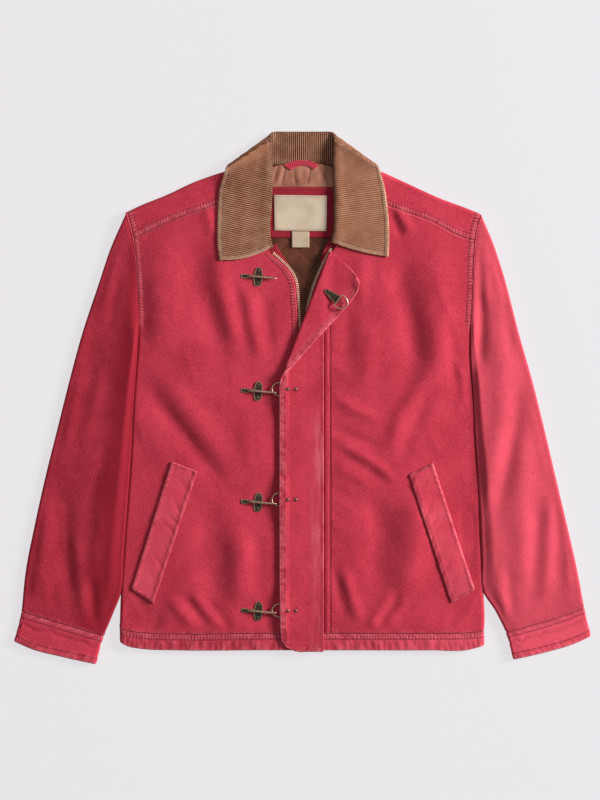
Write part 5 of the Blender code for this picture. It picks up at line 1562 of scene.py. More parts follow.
class Collar(Assembly):
    """Corduroy collar: stand and fall in one wall, folded at the crease, its fall passing under the back."""

    WALE = 3.1 * MM
    SLANT = {-1: math.radians(13.0), 1: math.radians(8.0)}
    CREASE_HALF_GAP = 2.05 * MM
    STAND_RISE = 2.2 * MM
    STITCH_IN = 6.8 * MM
    # Sections on the fronts, front end to shoulder: neck x, y; crease x, y; edge x, y; bow of the fall
    FRONT_RIGHT: Rows = ((-48.5, 223, -45, 224.5, -124, 205.5, -6), (-57.5, 242, -48.5, 239, -127, 225, -3),
                         (-64, 264, -49.5, 257, -127.5, 250, 0), (-68.5, 288, -47.5, 284, -126.5, 284, 0),
                         (-69, 312, -46, 316, -124.5, 311, 0))
    FRONT_LEFT: Rows = ((50, 230, 43.5, 232, 128.5, 210.5, -3), (58, 248, 46, 246, 129.5, 230, -1),
                        (64.5, 268, 48, 264, 129.5, 254, 0), (68.5, 290, 47.5, 288, 127, 286, 0),
                        (69, 312, 47, 316, 123.5, 311, 0))
    # Sections to the middle of the back, right half: turn in degrees (0 on the front, 180 under the back);
    # neck x, y; crease x, y; edge x, y
    BACK: Rows = ((0, -66, 330, -46, 350, -119, 329), (30, -64.5, 340, -46.5, 373, -117, 336),
                  (60, -62.5, 347, -46.5, 387, -114.5, 342.5), (90, -60, 351, -46, 394, -112, 347),
                  (120, -57, 350, -44.5, 396.5, -108.5, 346), (150, -52, 348, -41, 397.6, -102, 342),
                  (180, -42, 348.8, -33, 397.7, -90, 336), (180, -26, 350.4, -22, 397.7, -60, 328),
                  (180, -10, 351.2, -9, 397.7, -24, 323))
    # Columns of the fine grid in each step between the points of a section
    STEPS: tuple[int, ...] = (4, 5, 2, 2, 2, 2, 5, 5, 6, 5, 7)

    def section(self, places: Sequence[float], turn: float, bow: float) -> np.ndarray:
        """Middle line of the collar at one section: neck edge, stand, crease, fall and free edge.

        Args:
            places: x and y of the neck, the crease and the free edge, in millimetres.
            turn: zero on the front, and half a turn where the fall is under the back.
            bow: how far the fall bows in y, in millimetres.

        Returns:
            Twelve points.
        """
        front_share = (1 + math.cos(turn)) / 2
        neck, crease, edge = (np.array(places[i:i + 2]) * MM for i in (0, 2, 4))
        toward = unit(crease - neck)
        away = np.array((-toward[1], toward[0])) * (1 if crease[0] < 0 else -1)
        apart = np.array((*(away * math.sin(turn)), math.cos(turn)))
        half = CUT.collar_wall / 2
        neck_top = float(Lay.body_top(*neck))

        def level(front: float, back: float) -> float:
            """Height between that on the front and that at the back."""
            return back + (front - back) * front_share

        neck_z = level(neck_top - CUT.body_wall / 2, float(Lay.lift(*neck)) + CUT.body_wall / 2)
        crease_z = level(neck_top - CUT.body_wall / 2 + self.STAND_RISE,
                         half + self.CREASE_HALF_GAP + 0.2 * MM)
        edge_z = level(float(Lay.body_top(*edge)) + CUT.panel_rest + half, half)
        tip, ahead = np.array((*crease, crease_z)), np.array((*toward, 0.0))
        start, end = np.array((*neck, neck_z)), np.array((*edge, edge_z))
        bend = [tip - ahead * self.CREASE_HALF_GAP * (1 - math.cos(a))
                + apart * self.CREASE_HALF_GAP * math.sin(a)
                for a in np.radians((-90, -45, 0, 45, 90))]
        stand = [start + (bend[0] - start) * share for share in (0.0, 0.5)]
        fall = [bend[-1] + (end - bend[-1]) * share + np.array((0, bow * MM * math.sin(math.pi * share), 0))
                for share in (0.22, 0.45, 0.7, 0.88, 1.0)]
        return np.array(stand + bend + fall)

    def middle(self) -> tuple[np.ndarray, np.ndarray]:
        """Middle surface of the collar from its right front end to its left one, and each row's turn."""
        rows = [(row[:6], 0.0, row[6]) for row in self.FRONT_RIGHT]
        rows += [(row[1:], math.radians(row[0]), 0.0) for row in self.BACK]
        rows += [((-row[1], row[2], -row[3], row[4], -row[5], row[6]), math.radians(row[0]), 0.0)
                 for row in reversed(self.BACK)]
        rows += [(row[:6], 0.0, row[6]) for row in reversed(self.FRONT_LEFT)]
        sections = np.array([self.section(*row) for row in rows])
        turns = np.array([row[1] for row in rows])
        run = np.concatenate(([0.0], np.cumsum(np.linalg.norm(np.diff(sections, axis=0),
                                                              axis=2)[:, 6:].mean(axis=1))))
        count = round(run[-1] / (self.WALE / 4))
        at = np.linspace(0, run[-1], count + 1)
        fine = hermite(sections, run, at)
        turned = np.interp(at, run, turns)
        knots = np.arange(fine.shape[1], dtype=float)
        places = np.concatenate([index + np.arange(steps) / steps for index, steps in enumerate(self.STEPS)]
                                + [[11.0]])
        lengths = np.concatenate(([0.0],
                                  np.cumsum(np.linalg.norm(np.diff(fine, axis=1), axis=2).mean(axis=0))))
        spread = np.interp(places, knots, lengths)
        surface = hermite(fine.swapaxes(0, 1), lengths, spread).swapaxes(0, 1)
        return surface, turned

    def wale_place(self, points: np.ndarray, turned: np.ndarray) -> np.ndarray:
        """Place across the wales: they run up the stand, and nearly across the leaves.

        Args:
            points: the collar's points.
            turned: how far each row is turned.

        Returns:
            A length whose every wale pitch is one wale.
        """
        x, y = xy(points)
        slant = np.where(x < 0, self.SLANT[-1], self.SLANT[1])
        uneven = 0.5 * MM * rough(x, y, 26 * MM, 37)
        leaf = y * np.cos(slant) - np.abs(x) * np.sin(slant) + uneven
        corner = 350 * MM * np.cos(slant) - 75 * MM * np.sin(slant)
        on_stand = np.arange(points.shape[1])[None] < sum(self.STEPS[:4])
        under = smoothstep((turned[:, None] - math.radians(150)) / math.radians(25))
        share = np.where(on_stand, 1.0, under)
        return share * -np.abs(x) + (1 - share) * (leaf - corner - 75 * MM)

    def build(self) -> None:
        """Build the collar, with its wales, its stitched edges and the clearance over the fronts."""
        points, turned = self.middle()
        half = CUT.collar_wall / 2
        on_front = np.broadcast_to((turned < 1)[:, None], points.shape[:2])
        is_fall = np.broadcast_to((np.arange(points.shape[1]) > sum(self.STEPS[:6]))[None], points.shape[:2])
        clear = Lay.body_top(*xy(points)) + CUT.panel_rest * 0.6 + half
        points[..., 2] = np.where(on_front & is_fall, np.maximum(points[..., 2], clear), points[..., 2])
        surface = Surface(points, probe=(0, -1))
        surface.raise_by(np.full(points.shape[:2], half))
        soft = 0.5 * MM * rough(*xy(points), 34 * MM, 31) * is_fall * on_front
        surface.raise_by(soft * smoothstep(surface.away(Side.LAST) / (14 * MM)))
        for side in (Side.LAST, Side.FOOT, Side.HEAD):
            Sewn((self.STITCH_IN,), width=7 * MM, drop=0.8 * MM, swell=0.3 * MM, pucker=0.26 * MM,
                 pitch=6.5 * MM,
                 seed=33).work(surface, side, is_fall.astype(float))
        wale = 0.5 + 0.5 * np.cos(2 * math.pi * self.wale_place(surface.points, turned) / self.WALE)
        uneven = 0.8 + 0.2 * rough(*xy(points), 4 * MM, 35)
        edge = np.minimum.reduce([surface.away(side) for side in (Side.LAST, Side.FOOT, Side.HEAD)])
        border = (1 - ease(edge, 5.6, 1.6)) * is_fall
        ends = smoothstep((np.minimum(surface.away(Side.FOOT), surface.away(Side.HEAD)) - 1 * MM) / (9 * MM))
        places = np.arange(points.shape[1])[None]
        crease = bell(places - sum(self.STEPS[:4]), 3.5)
        surface.raise_by(0.85 * MM * (wale - 0.6) * uneven * (1 - 0.2 * border) * (1 - 0.65 * crease)
                         * np.where(is_fall, 1.0, ends))
        surface.mark("wale", wale)
        roping = 0.5 + 0.5 * rough(surface.x, surface.y, 3.4 * MM, 36)
        surface.mark("worn", border * (0.2 + 0.4 * roping) * (0.4 + 0.6 * wale))
        # Painted light and shade: the right leaf, the stand and the crease are painted darker, where less
        # light falls, and the rolled-under edge of the fall is painted lighter on the right and darker on the
        # left.
        rolled_under = smoothstep(turned[:, None] / math.radians(50)) * is_fall
        surface.mark("tone", -0.14 * (points[..., 0] < 0) * is_fall - 0.24 * (1 - is_fall) - 0.22 * crease
                     + rolled_under * np.where(points[..., 0] < 0, 0.24, -0.15))
        surface.keep_above()
        self.bench.cloth("collar", surface, "corduroy", CUT.collar_wall,
                         Flat(0.50, 0.125, 0.056, "folded", ("front_left", "front_right", "back")))
        self.bench.sew_along("tan_thread", surface, Side.LAST, (self.STITCH_IN,), (0.01, 0.99))
        for side in (Side.FOOT, Side.HEAD):
            line, up = surface.inset(side, self.STITCH_IN)
            first = sum(self.STEPS[:6]) + 2
            self.bench.sew("tan_thread", line[first:-2], up[first:-2])


# ---------------------------------------------------------------- storm flap

class StormFlap(Assembly):
    """Storm flap over the zip, its top corner turned back on the left front."""

    # Neck to hem: attached x, y; free x, y of its flat pattern
    PATTERN: Rows = ((45, 219, 2, 222), (43, 207, -19, 218), (40, 190, -31, 207), (37, 172, -35.5, 187),
                     (35, 150, -36, 160), (33, 128, -35.5, 135), (32, 105, -35, 108), (32, 80, -35, 82),
                     (32, 55, -35, 55), (32, 20, -35, 20), (32, -40, -35, -40), (32, -100, -35, -100),
                     (32, -160, -35, -160), (32, -220, -35, -220), (32, -280, -34.5, -280),
                     (32, -330, -34, -330), (32, -352, -33, -352), (32, -367, -29, -367),
                     (32, -375, -21, -375), (31, -380, -8, -380))
    # Row of stitches inside the free edge, and the row beside the seam that holds the flap
    EDGE_ROW = 8.0 * MM
    HELD_ROW = 2.2 * MM
    SHELL = CUT.flap_wall * 0.92
    FOLD_TOP = (43.5, 221)
    FOLD_FOOT = (-18, 60)
    FOLD_RADIUS = 1.9 * MM
    DROOP = 3.1 * MM
    # Gap under the flap: x, gap. It is open at the free edge, where the rings and their plates lie.
    RING_YS = (150, 13, -152, -318)
    GAPS: Rows = ((-60, 4.7), (-25, 4.6), (-19, 2.4), (-6, 1.5), (6, 0.5), (20, 0.3), (60, 0.3))

    @classmethod
    def gap(cls, x: np.ndarray, y: np.ndarray) -> np.ndarray:
        """Gap under the flap: it lies closer between the rings than over them."""
        xs, gaps = zip(*cls.GAPS)
        rings = sum(np.exp(-((y / MM - at) / 34) ** 4) for at in cls.RING_YS)
        return np.interp(x, np.array(xs) * MM, np.array(gaps) * MM) * (0.5 + 0.5 * np.clip(rings, 0, 1))

    def outer(self, pattern: np.ndarray) -> np.ndarray:
        """Outer points of the flap from its flat pattern, turned back beyond the fold line."""
        head, foot = np.array(self.FOLD_TOP) * MM, np.array(self.FOLD_FOOT) * MM
        along = unit(foot - head)
        way = np.array((along[1], -along[0]))
        beyond = (pattern - head) @ way
        line = pattern - beyond[..., None] * way
        radius, turn = self.FOLD_RADIUS, math.pi * self.FOLD_RADIUS
        angle = np.clip(beyond / radius, 0.0, math.pi)
        back = np.maximum(beyond - turn, 0.0)
        reach = np.where(beyond < 0, beyond, radius * np.sin(angle) - back)
        plane = line + way * reach[..., None]
        droop = self.DROOP * ease(plane[..., 0], 26, 22) * (beyond > turn)
        rise = radius * (1 - np.cos(angle)) - droop
        anchor = np.where((beyond <= 0)[..., None], plane, line - way * back[..., None])
        half = CUT.flap_wall / 2
        ground = Lay.body_top(*xy(anchor)) + self.gap(*xy(anchor)) + half
        plane = plane - way * (np.sin(angle) * half)[..., None]
        return lay_on(plane, ground + rise + half * np.cos(angle))

    def build(self) -> None:
        """Build the flap."""
        pattern = np.array(self.PATTERN) * MM
        down = run_along(pattern[:, :2])
        rows = hermite(pattern, down, spaced(600, 1.4, 2.8, 14) * down[-1])
        u = np.linspace(0, 1, 62)[None, :, None]
        plane = rows[:, None, :2] * (1 - u) + rows[:, None, 2:] * u
        surface = Surface(self.outer(plane), probe=(-1, 0))
        upper = smoothstep((surface.away(Side.FOOT) - 20 * MM) / (30 * MM))
        surface.raise_by((0.22 * MM * rough(*xy(plane), 18 * MM, 41)
                          + 0.1 * MM * rough(*xy(plane), 7 * MM, 42)) * upper)
        for side, seed in ((Side.LAST, 43), (Side.HEAD, 44)):
            edge = Sewn((self.EDGE_ROW,), width=9 * MM, pucker=0.75 * MM, pitch=7 * MM, drop=0.8 * MM,
                        worn=2.4, seed=seed)
            edge.work(surface, side)
        Sewn((self.HELD_ROW,), width=5 * MM, pucker=0.25 * MM, drop=0.5 * MM, worn=0.45,
             seed=45).work(surface, Side.FIRST)
        x, y = surface.x, surface.y
        rubbed = ease(x, 6, 18) * smoothstep((10 * MM - y) / (60 * MM))
        streaks = (smoothstep(0.5 + 0.5 * rough(x, 0.16 * y, 3.6 * MM, 46))
                   * (0.6 + 0.4 * rough(x, y, 30 * MM, 47)))
        surface.mark("worn", 0.85 * rubbed * streaks)
        self.bench.cloth("front_flap", surface, "canvas", self.SHELL,
                         Flat(0.070, 0.60, 0.0385, "folded", ("front_left", "front_right")))
        for side in (Side.LAST, Side.HEAD):
            line, up = surface.inset(side, self.EDGE_ROW)
            self.bench.sew("red_thread", line, up)
            self.bench.sew("red_thread", line - up * self.SHELL, -up)


# ---------------------------------------------------------------- pockets, zip and neck

class Pockets(Assembly):
    """Slanted welts of the two pockets."""

    # x, y of the top outer, top inner, bottom inner and bottom outer corner
    CORNERS = {Wearer.RIGHT: ((-196, -95), (-157, -110), (-223, -308), (-256, -286)),
               Wearer.LEFT: ((195, -97), (159, -115), (222, -307), (258, -287))}
    SHELL = 1.6 * MM
    # Rows of stitches beside the inner edge and beside the ends
    ROWS = (1.5 * MM, 5.2 * MM)
    END_ROWS = (2.4 * MM,)
    # How much more a welt has faded than the body
    TONE = {Wearer.RIGHT: 0.36, Wearer.LEFT: 0.12}

    def build(self) -> None:
        """Build both welts."""
        for side, corners in self.CORNERS.items():
            outer_top, inner_top, inner_foot, outer_foot = corners
            grid = patch([outer_top, inner_top], [outer_foot, inner_foot], [outer_top, outer_foot],
                         [inner_top, inner_foot], spaced(40, 0.9, 1.6, 5), spaced(208, 1.2, 1.9, 10))
            height = Lay.body_top(*xy(grid)) + CUT.panel_rest + CUT.welt_wall - 0.4 * MM
            uneven = 0.2 * MM * rough(*xy(grid), 13 * MM, 51)
            surface = Surface(lay_on(grid, height + uneven))
            inner = Sewn(self.ROWS, width=8 * MM, drop=1.0 * MM, pucker=0.34 * MM, slant=1.2, seed=52,
                         rungs=0.15)
            inner.work(surface, Side.LAST)
            Sewn((), width=6 * MM, drop=1.1 * MM, pucker=0.34 * MM, worn=1.6, slant=1.0,
                 seed=53).work(surface, Side.FIRST)
            run, away = surface.away(Side.FOOT), surface.away(Side.FIRST)
            phase = 2 * math.pi * (run - 0.8 * away) / (27 * MM) + 2.8 * rough(run, 0 * run, 34 * MM, 55)
            pulls = (0.5 + 0.5 * np.cos(phase)) ** 4 * ease(away, 12, 18)
            pulls = pulls * (0.6 + 0.5 * rough(run, away, 30 * MM, 56))
            surface.raise_by(-0.9 * MM * pulls)
            # The pulls are painted darker: partly dye, partly painted shade.
            surface.mark("dye_and_shade", 0.16 * pulls)
            surface.mark("worn", 0.3 * (0.5 + 0.5 * rough(run, 0.5 * away, 15 * MM, 57)))
            surface.mark("tone", self.TONE[side])
            for end in (Side.FOOT, Side.HEAD):
                Sewn(self.END_ROWS, width=5 * MM, drop=1.0 * MM, pucker=0.2 * MM, seed=54).work(surface, end)
                self.bench.sew_along("red_thread", surface, end, self.END_ROWS, (0.08, 0.92))
            name = f"pocket_welt_{side.word}"
            self.bench.cloth(name, surface, "canvas", self.SHELL,
                             Flat(0.040, 0.212, 0.0082, "laid", (f"front_{side.word}",)))
            self.bench.sew_along("red_thread", surface, Side.LAST, self.ROWS, (0.02, 0.98))


@dataclass(frozen=True)
class Strip:
    """A strip along a front's open edge: reach each way, depth, lower end and how much it widens above."""

    inner: float
    outer: float
    depth: float
    first_y: float
    flare: float = 0.0


class Zip(Assembly):
    """Zip tapes, facings and teeth beside the fronts' open edges."""

    TAPE = Strip(2.5 * MM, 8.0 * MM, CUT.panel_rest, -325)
    FACING = Strip(5.0 * MM, 6.0 * MM, CUT.panel_rest + CUT.rest + CUT.trim_wall, 100, 8.5 * MM)
    # The teeth: from one to the next, length, width, height, and how far the row lies beyond the front's edge
    TOOTH_PITCH = 2.8 * MM
    TOOTH_SIZE = (4.4 * MM, 1.5 * MM, 1.5 * MM)
    BEYOND = {Wearer.RIGHT: 3.3 * MM, Wearer.LEFT: 4.2 * MM}
    # The left front's edge is turned up a little, with its tape
    TURNED_UP = {Wearer.RIGHT: 0.0, Wearer.LEFT: 2.4 * MM}

    def __init__(self, bench: Bench) -> None:
        """Keep the bench, and start the rows of teeth."""
        super().__init__(bench)
        self.teeth: list[np.ndarray] = []

    @staticmethod
    def edge(side: Wearer, first_y: float, rows: int) -> tuple[np.ndarray, np.ndarray]:
        """Plane points of a front's open edge from the neck down, and the way towards the other front."""
        traced = of_side(CUT.front_edges, side)
        if first_y > 0:
            traced = [(traced[0][0] * 1.1, traced[0][1] + 11), *traced]
        line = smooth_line(traced, np.linspace(0, 1, 400))
        line = line[line[:, 1] > first_y * MM]
        line = smooth_line(line[::8] / MM, np.linspace(0, 1, rows))
        way = unit(np.gradient(line, axis=0))
        return line, np.stack((way[:, 1], -way[:, 0]), axis=1) * side.value

    def strip(self, side: Wearer, shape: Strip, name: str, finish: str, flat: Flat) -> None:
        """Build one strip.

        Args:
            side: the side of the jacket.
            shape: the strip's reach and depth.
            name: its name.
            finish: its finish.
            flat: its flat cut.
        """
        line, outward = self.edge(side, shape.first_y, round((220 - shape.first_y) / 2.4))
        wide = shape.inner + shape.flare * ease(line[:, 1:], 190, 24)
        reach = -shape.outer + (wide + shape.outer) * np.linspace(0, 1, 10)[None]
        grid = line[:, None] + outward[:, None] * reach[..., None]
        near = np.broadcast_to(line[:, None], grid.shape)
        up = self.TURNED_UP[side] * ease(reach, -2, 4)
        high = Lay.body_top(*xy(near)) - CUT.body_wall - shape.depth + up
        surface = Surface(lay_on(grid, high))
        self.bench.cloth(name, surface, finish, CUT.trim_wall, flat)

    def row_of_teeth(self, side: Wearer) -> None:
        """Remember the frames of one row of teeth, astride the tape's bead."""
        line, outward = self.edge(side, -345, 900)
        beyond = self.BEYOND[side]
        long, wide, high = self.TOOTH_SIZE
        bead = line + outward * beyond
        run = run_along(bead)
        at = np.arange(2 * MM, run[-1], self.TOOTH_PITCH)
        place = read_along(bead, run, at)
        out = unit(read_along(outward, run, at))
        along = np.stack((-out[:, 1], out[:, 0]), axis=1)
        near = place - out * beyond
        height = Lay.body_top(*xy(near)) - CUT.body_wall - CUT.panel_rest + 0.25 * MM + self.TURNED_UP[side]
        flat = np.zeros((len(at), 1))
        self.teeth.append(np.stack((np.hstack((out * long, flat)), np.hstack((along * wide, flat)),
                                    np.tile((0.0, 0.0, high), (len(at), 1)), lay_on(place, height)), axis=1))

    @staticmethod
    def tooth() -> Template:
        """One tooth of length, width and height one: a block with a narrower head."""
        bm = bmesh.new()
        bmesh.ops.create_cube(bm, size=1.0)
        bmesh.ops.bevel(bm, geom=bm.edges[:], offset=0.18, segments=1, profile=0.5, affect="EDGES",
                        material=-1)
        for vert in bm.verts:
            vert.co.y *= 1.0 if vert.co.x < 0 else 0.72
        return template(bm)

    def build(self) -> None:
        """Build the tapes, facings and teeth."""
        for side in Wearer:
            word = side.word
            self.strip(side, self.TAPE, f"zip_tape_{word}", "canvas",
                       Flat(0.0105, 0.57, 0.0058, "laid", (f"front_{word}",)))
            self.strip(side, self.FACING, f"facing_{word}", "inside_canvas",
                       Flat(0.0135, 0.14, 0.00183, "laid", (f"front_{word}",)))
            self.row_of_teeth(side)
        self.bench.finish_mesh(scatter("zip_teeth", self.tooth(), np.concatenate(self.teeth)), "zip_teeth",
                               "zip_brass", ())


class NeckInside(Assembly):
    """Linings, facing, label, size tag and hanger loop that show inside the neck."""

    # Rows of stitches inside the edges of the facing, the label and the hanger loop
    FACING_ROWS = (2.6 * MM,)
    LABEL_ROWS = (2.2 * MM,)
    LOOP_ROWS = (1.6 * MM,)
    # Pleats of the neck lining: x at its foot, lean, half width, height
    PLEATS: Rows = ((-42, 0.3, 2.0, -0.6), (-35, 0.25, 3.2, 0.6), (-29, 0.2, 2.2, -0.4),
                    (-12, -0.15, 2.0, -0.5), (-5, -0.1, 4.0, 0.5), (9, 0.2, 2.0, -0.6), (21, -0.3, 5.0, 0.5),
                    (33, -0.5, 2.4, -0.5), (42, -0.2, 3.0, 0.4))
    # From one line of the quilting to the next
    QUILT = 36 * MM

    @staticmethod
    def sheet(foot: Rows, head: Rows, columns: int, rows: int, gap: float) -> Surface:
        """Sheet lying over the back's inner side, between a foot line and a head line."""
        grid = patch(foot, head, [foot[0], head[0]], [foot[-1], head[-1]], np.linspace(0, 1, columns),
                     np.linspace(0, 1, rows))
        return Surface(lay_on(grid, Lay.lift(*xy(grid)) + CUT.body_wall + gap))

    def linings(self) -> None:
        """Build the smooth lining at the neck, the facing below it and the quilted lining."""
        top = CUT.neck_rest + CUT.lining_wall
        surface = self.sheet([(-58, 315.3), (58, 315.3)],
                             [(-54, 340.5), (-42, 346), (0, 350.5), (42, 346), (54, 340.5)],
                             110, 24, top)
        x, y = surface.x / MM, surface.y / MM
        pleats = sum(height * np.exp(-((x - at - lean * (y - 330)) / wide) ** 2)
                     for at, lean, wide, height in self.PLEATS)
        pleats = pleats * smoothstep((y - 316) / 9) * (0.8 + 0.4 * rough(surface.x, surface.y, 9 * MM, 66))
        surface.raise_by(1.6 * MM * pleats)
        # Painted shade: the pleats' troughs are painted darker.
        surface.mark("dye_and_shade", np.clip(-pleats, 0, 1))
        self.bench.cloth("neck_lining", surface, "plain", 0.7 * MM,
                         Flat(0.125, 0.034, 0.0030, "laid", ("back",)))
        surface = self.sheet([(-57, 240), (57, 240)], [(-58, 315), (58, 315)], 60, 46, top)
        surface.raise_by(0.2 * MM * rough(surface.x, surface.y, 17 * MM, 61))
        Sewn(self.FACING_ROWS, width=4 * MM, drop=0.3 * MM, swell=0.4 * MM, pucker=0.14 * MM,
             seed=62).work(surface, Side.HEAD)
        self.bench.cloth("neck_facing", surface, "inside_canvas", 0.8 * MM,
                         Flat(0.118, 0.078, 0.0087, "laid", ("back",)))
        self.bench.sew_along("red_thread", surface, Side.HEAD, self.FACING_ROWS)
        surface = self.sheet([(-22, 84), (22, 84)], [(-57, 239.7), (57, 239.7)], 74, 104,
                             CUT.rest + CUT.lining_wall)
        x, y = surface.x, surface.y
        quilt = np.minimum(*(np.abs(np.sin(math.pi * lines / self.QUILT)) for lines in (x + y, x - y)))
        surface.raise_by(0.9 * MM * (quilt ** 0.6) - 0.4 * MM)
        # Painted shade: the quilting lines are painted darker.
        surface.mark("dye_and_shade", np.clip(1 - quilt * 5, 0, 1))
        self.bench.cloth("back_lining", surface, "quilted", 0.8 * MM,
                         Flat(0.118, 0.16, 0.0125, "laid", ("back",)))

    def labels(self) -> None:
        """Build the bare label with its sewn border, the size tag, and the hanger loop."""
        gap = CUT.neck_rest + CUT.lining_wall + CUT.panel_rest + CUT.trim_wall - 0.3 * MM
        surface = self.sheet([(-42, 250.5), (36, 249.5)], [(-43, 303.5), (36.5, 302.5)], 84, 58, gap)
        surface.raise_by(0.25 * MM * rough(surface.x, surface.y, 20 * MM, 63))
        for side in (Side.FIRST, Side.LAST, Side.FOOT, Side.HEAD):
            Sewn(self.LABEL_ROWS, width=3.4 * MM, drop=0.35 * MM, swell=0.1 * MM, pucker=0.12 * MM,
                 seed=64).work(surface, side)
            self.bench.sew_along("cream_thread", surface, side, self.LABEL_ROWS, (0.05, 0.95))
        self.bench.cloth("neck_label", surface, "label", 0.6 * MM,
                         Flat(0.079, 0.053, 0.0041, "laid", ("neck_facing",)))
        surface = self.sheet([(-16, 225), (10, 225)], [(-16, 249.2), (10, 249)], 20, 20, gap)
        # The size tag is marked darker all over.
        surface.mark("dye_and_shade", 0.9)
        self.bench.cloth("size_tag", surface, "label", 0.6 * MM,
                         Flat(0.026, 0.024, 0.00062, "laid", ("neck_facing",)))
        low = [(-17, 340), (-8, 345.5), (2, 347), (10, 345.5), (16, 341.5)]
        high = [(-30, 348.5), (-17, 353.5), (-1, 355.5), (14, 353.5), (25, 348.5)]
        surface = self.sheet(low, high, 46, 12, CUT.neck_rest + 2 * CUT.lining_wall + CUT.rest)
        for side in (Side.FOOT, Side.HEAD):
            Sewn(self.LOOP_ROWS, width=3 * MM, drop=0.5 * MM, swell=0.15 * MM, pucker=0.14 * MM,
                 seed=65).work(surface, side)
            self.bench.sew_along("red_thread", surface, side, self.LOOP_ROWS)
        self.bench.cloth("hanger_loop", surface, "canvas", 0.9 * MM,
                         Flat(0.057, 0.012, 0.0005, "laid", ("neck_lining",)))

    def build(self) -> None:
        """Build everything inside the neck."""
        self.linings()
        self.labels()


# ---------------------------------------------------------------- metal

def closed_outline(points: Rows, count: int) -> np.ndarray:
    """Points at even steps of a smooth closed line through rows in millimetres, in metres."""
    rows = np.array([*points[-2:], *points, *points[:2]], dtype=float) * MM
    knots = np.concatenate(([0.0], np.cumsum(np.sqrt(np.linalg.norm(np.diff(rows, axis=0), axis=1)))))
    return hermite(rows, knots, np.linspace(knots[2], knots[-2], count + 1)[:-1])


class Forge:
    """One small metal part in the making."""

    def __init__(self) -> None:
        """Start with nothing."""
        self.bm = bmesh.new()

    @staticmethod
    def _of(kind: type, geometry: Iterable[object]) -> list:
        """The members of one kind of some geometry."""
        return [item for item in geometry if isinstance(item, kind)]

    def plate(self, outline: np.ndarray, thick: float, rim: float, sunk: float) -> "Forge":
        """Make a flat plate with rounded upper edges and a raised rim round a sunk field.

        Args:
            outline: its outline, counterclockwise.
            thick: its thickness.
            rim: width of the rim.
            sunk: depth of the field.

        Returns:
            This part.
        """
        face = self.bm.faces.new([self.bm.verts.new((*point, 0.0)) for point in outline])
        grown = bmesh.ops.extrude_face_region(self.bm, geom=[face])["geom"]
        bmesh.ops.translate(self.bm, vec=(0.0, 0.0, thick), verts=self._of(bmesh.types.BMVert, grown))
        top = self._of(bmesh.types.BMFace, grown)[0]
        bmesh.ops.bevel(self.bm, geom=top.edges[:], offset=0.3 * MM, segments=2, profile=0.5, affect="EDGES",
                        material=-1)
        top = max(self.bm.faces, key=lambda one: one.calc_center_median().z + 0.001 * len(one.verts))
        bmesh.ops.inset_individual(self.bm, faces=[top], thickness=rim, depth=0.0)
        bmesh.ops.inset_individual(self.bm, faces=[top], thickness=0.2 * MM, depth=-sunk)
        return self

    def rod(self, route: np.ndarray, radii: np.ndarray, sides: int = 12, closed: bool = False) -> "Forge":
        """Make a round rod along a route.

        Args:
            route: its middle line.
            radii: its radius at each point.
            sides: points round it.
            closed: whether it comes back to its start.

        Returns:
            This part.
        """
        if closed:
            ahead = unit(np.roll(route, -1, axis=0) - np.roll(route, 1, axis=0))
        else:
            ahead = unit(np.gradient(route, axis=0))
        beside = unit(np.cross(ahead, (0.0, 0.0, 1.0)))
        frames = []
        for point, way, across, radius in zip(route, ahead, beside, radii):
            frame = Matrix.Identity(4)
            for column, vector in enumerate((across * radius, np.cross(way, across) * radius, way, point)):
                frame.col[column] = (*vector, 1.0 if column == 3 else 0.0)
            frames.append(frame)
        made = bmesh.ops.create_circle(self.bm, segments=sides, radius=1.0, matrix=frames[0])["verts"]
        edges = first = list({edge for vert in made for edge in vert.link_edges})
        for before, after in zip(frames, frames[1:]):
            grown = bmesh.ops.extrude_edge_only(self.bm, edges=edges)["geom"]
            bmesh.ops.transform(self.bm, matrix=after @ before.inverted(),
                                verts=self._of(bmesh.types.BMVert, grown))
            edges = [edge for edge in self._of(bmesh.types.BMEdge, grown) if edge.is_boundary]
        if closed:
            bmesh.ops.bridge_loops(self.bm, edges=first + edges)
        return self

    def turned(self, profile: Rows, axis: Sequence[float], sides: int) -> "Forge":
        """Make a turned part.

        Args:
            profile: x, y, z of its profile, in metres.
            axis: the axis through the origin that it turns round.
            sides: points round it.

        Returns:
            This part.
        """
        verts = [self.bm.verts.new(point) for point in profile]
        edges = [self.bm.edges.new(pair) for pair in zip(verts, verts[1:])]
        bmesh.ops.spin(self.bm, geom=verts + edges, cent=(0, 0, 0), axis=axis, dvec=(0, 0, 0),
                       angle=2 * math.pi,
                       steps=sides, use_merge=True, use_duplicate=False)
        return self

    def mesh(self, name: str, seat: Matrix, worn: Callable[[Vector], float]) -> bpy.types.Mesh:
        """Close the part, mark where it is rubbed and put it in its seat.

        Args:
            name: the mesh's name.
            seat: the part's place in the frame.
            worn: how rubbed it is at a point of its own place.

        Returns:
            The mesh.
        """
        bm = self.bm
        bmesh.ops.remove_doubles(bm, verts=bm.verts, dist=0.005 * MM)
        bmesh.ops.holes_fill(bm, edges=[edge for edge in bm.edges if edge.is_boundary])
        bmesh.ops.triangulate(bm, faces=[face for face in bm.faces if len(face.verts) > 4])
        bmesh.ops.recalc_face_normals(bm, faces=bm.faces)
        layer = bm.verts.layers.float.new("worn")
        for vert in bm.verts:
            vert[layer] = min(max(worn(vert.co), 0.0), 1.0)
        bmesh.ops.transform(bm, matrix=seat, verts=bm.verts)
        mesh = bpy.data.meshes.new(name)
        bm.to_mesh(mesh)
        bm.free()
        return mesh


def seat_at(x: float, y: float, z: float, angle: float = 0.0) -> Matrix:
    """A place in the frame, turned about Z."""
    return Matrix.Translation((x, y, z)) @ Matrix.Rotation(angle, 4, "Z")


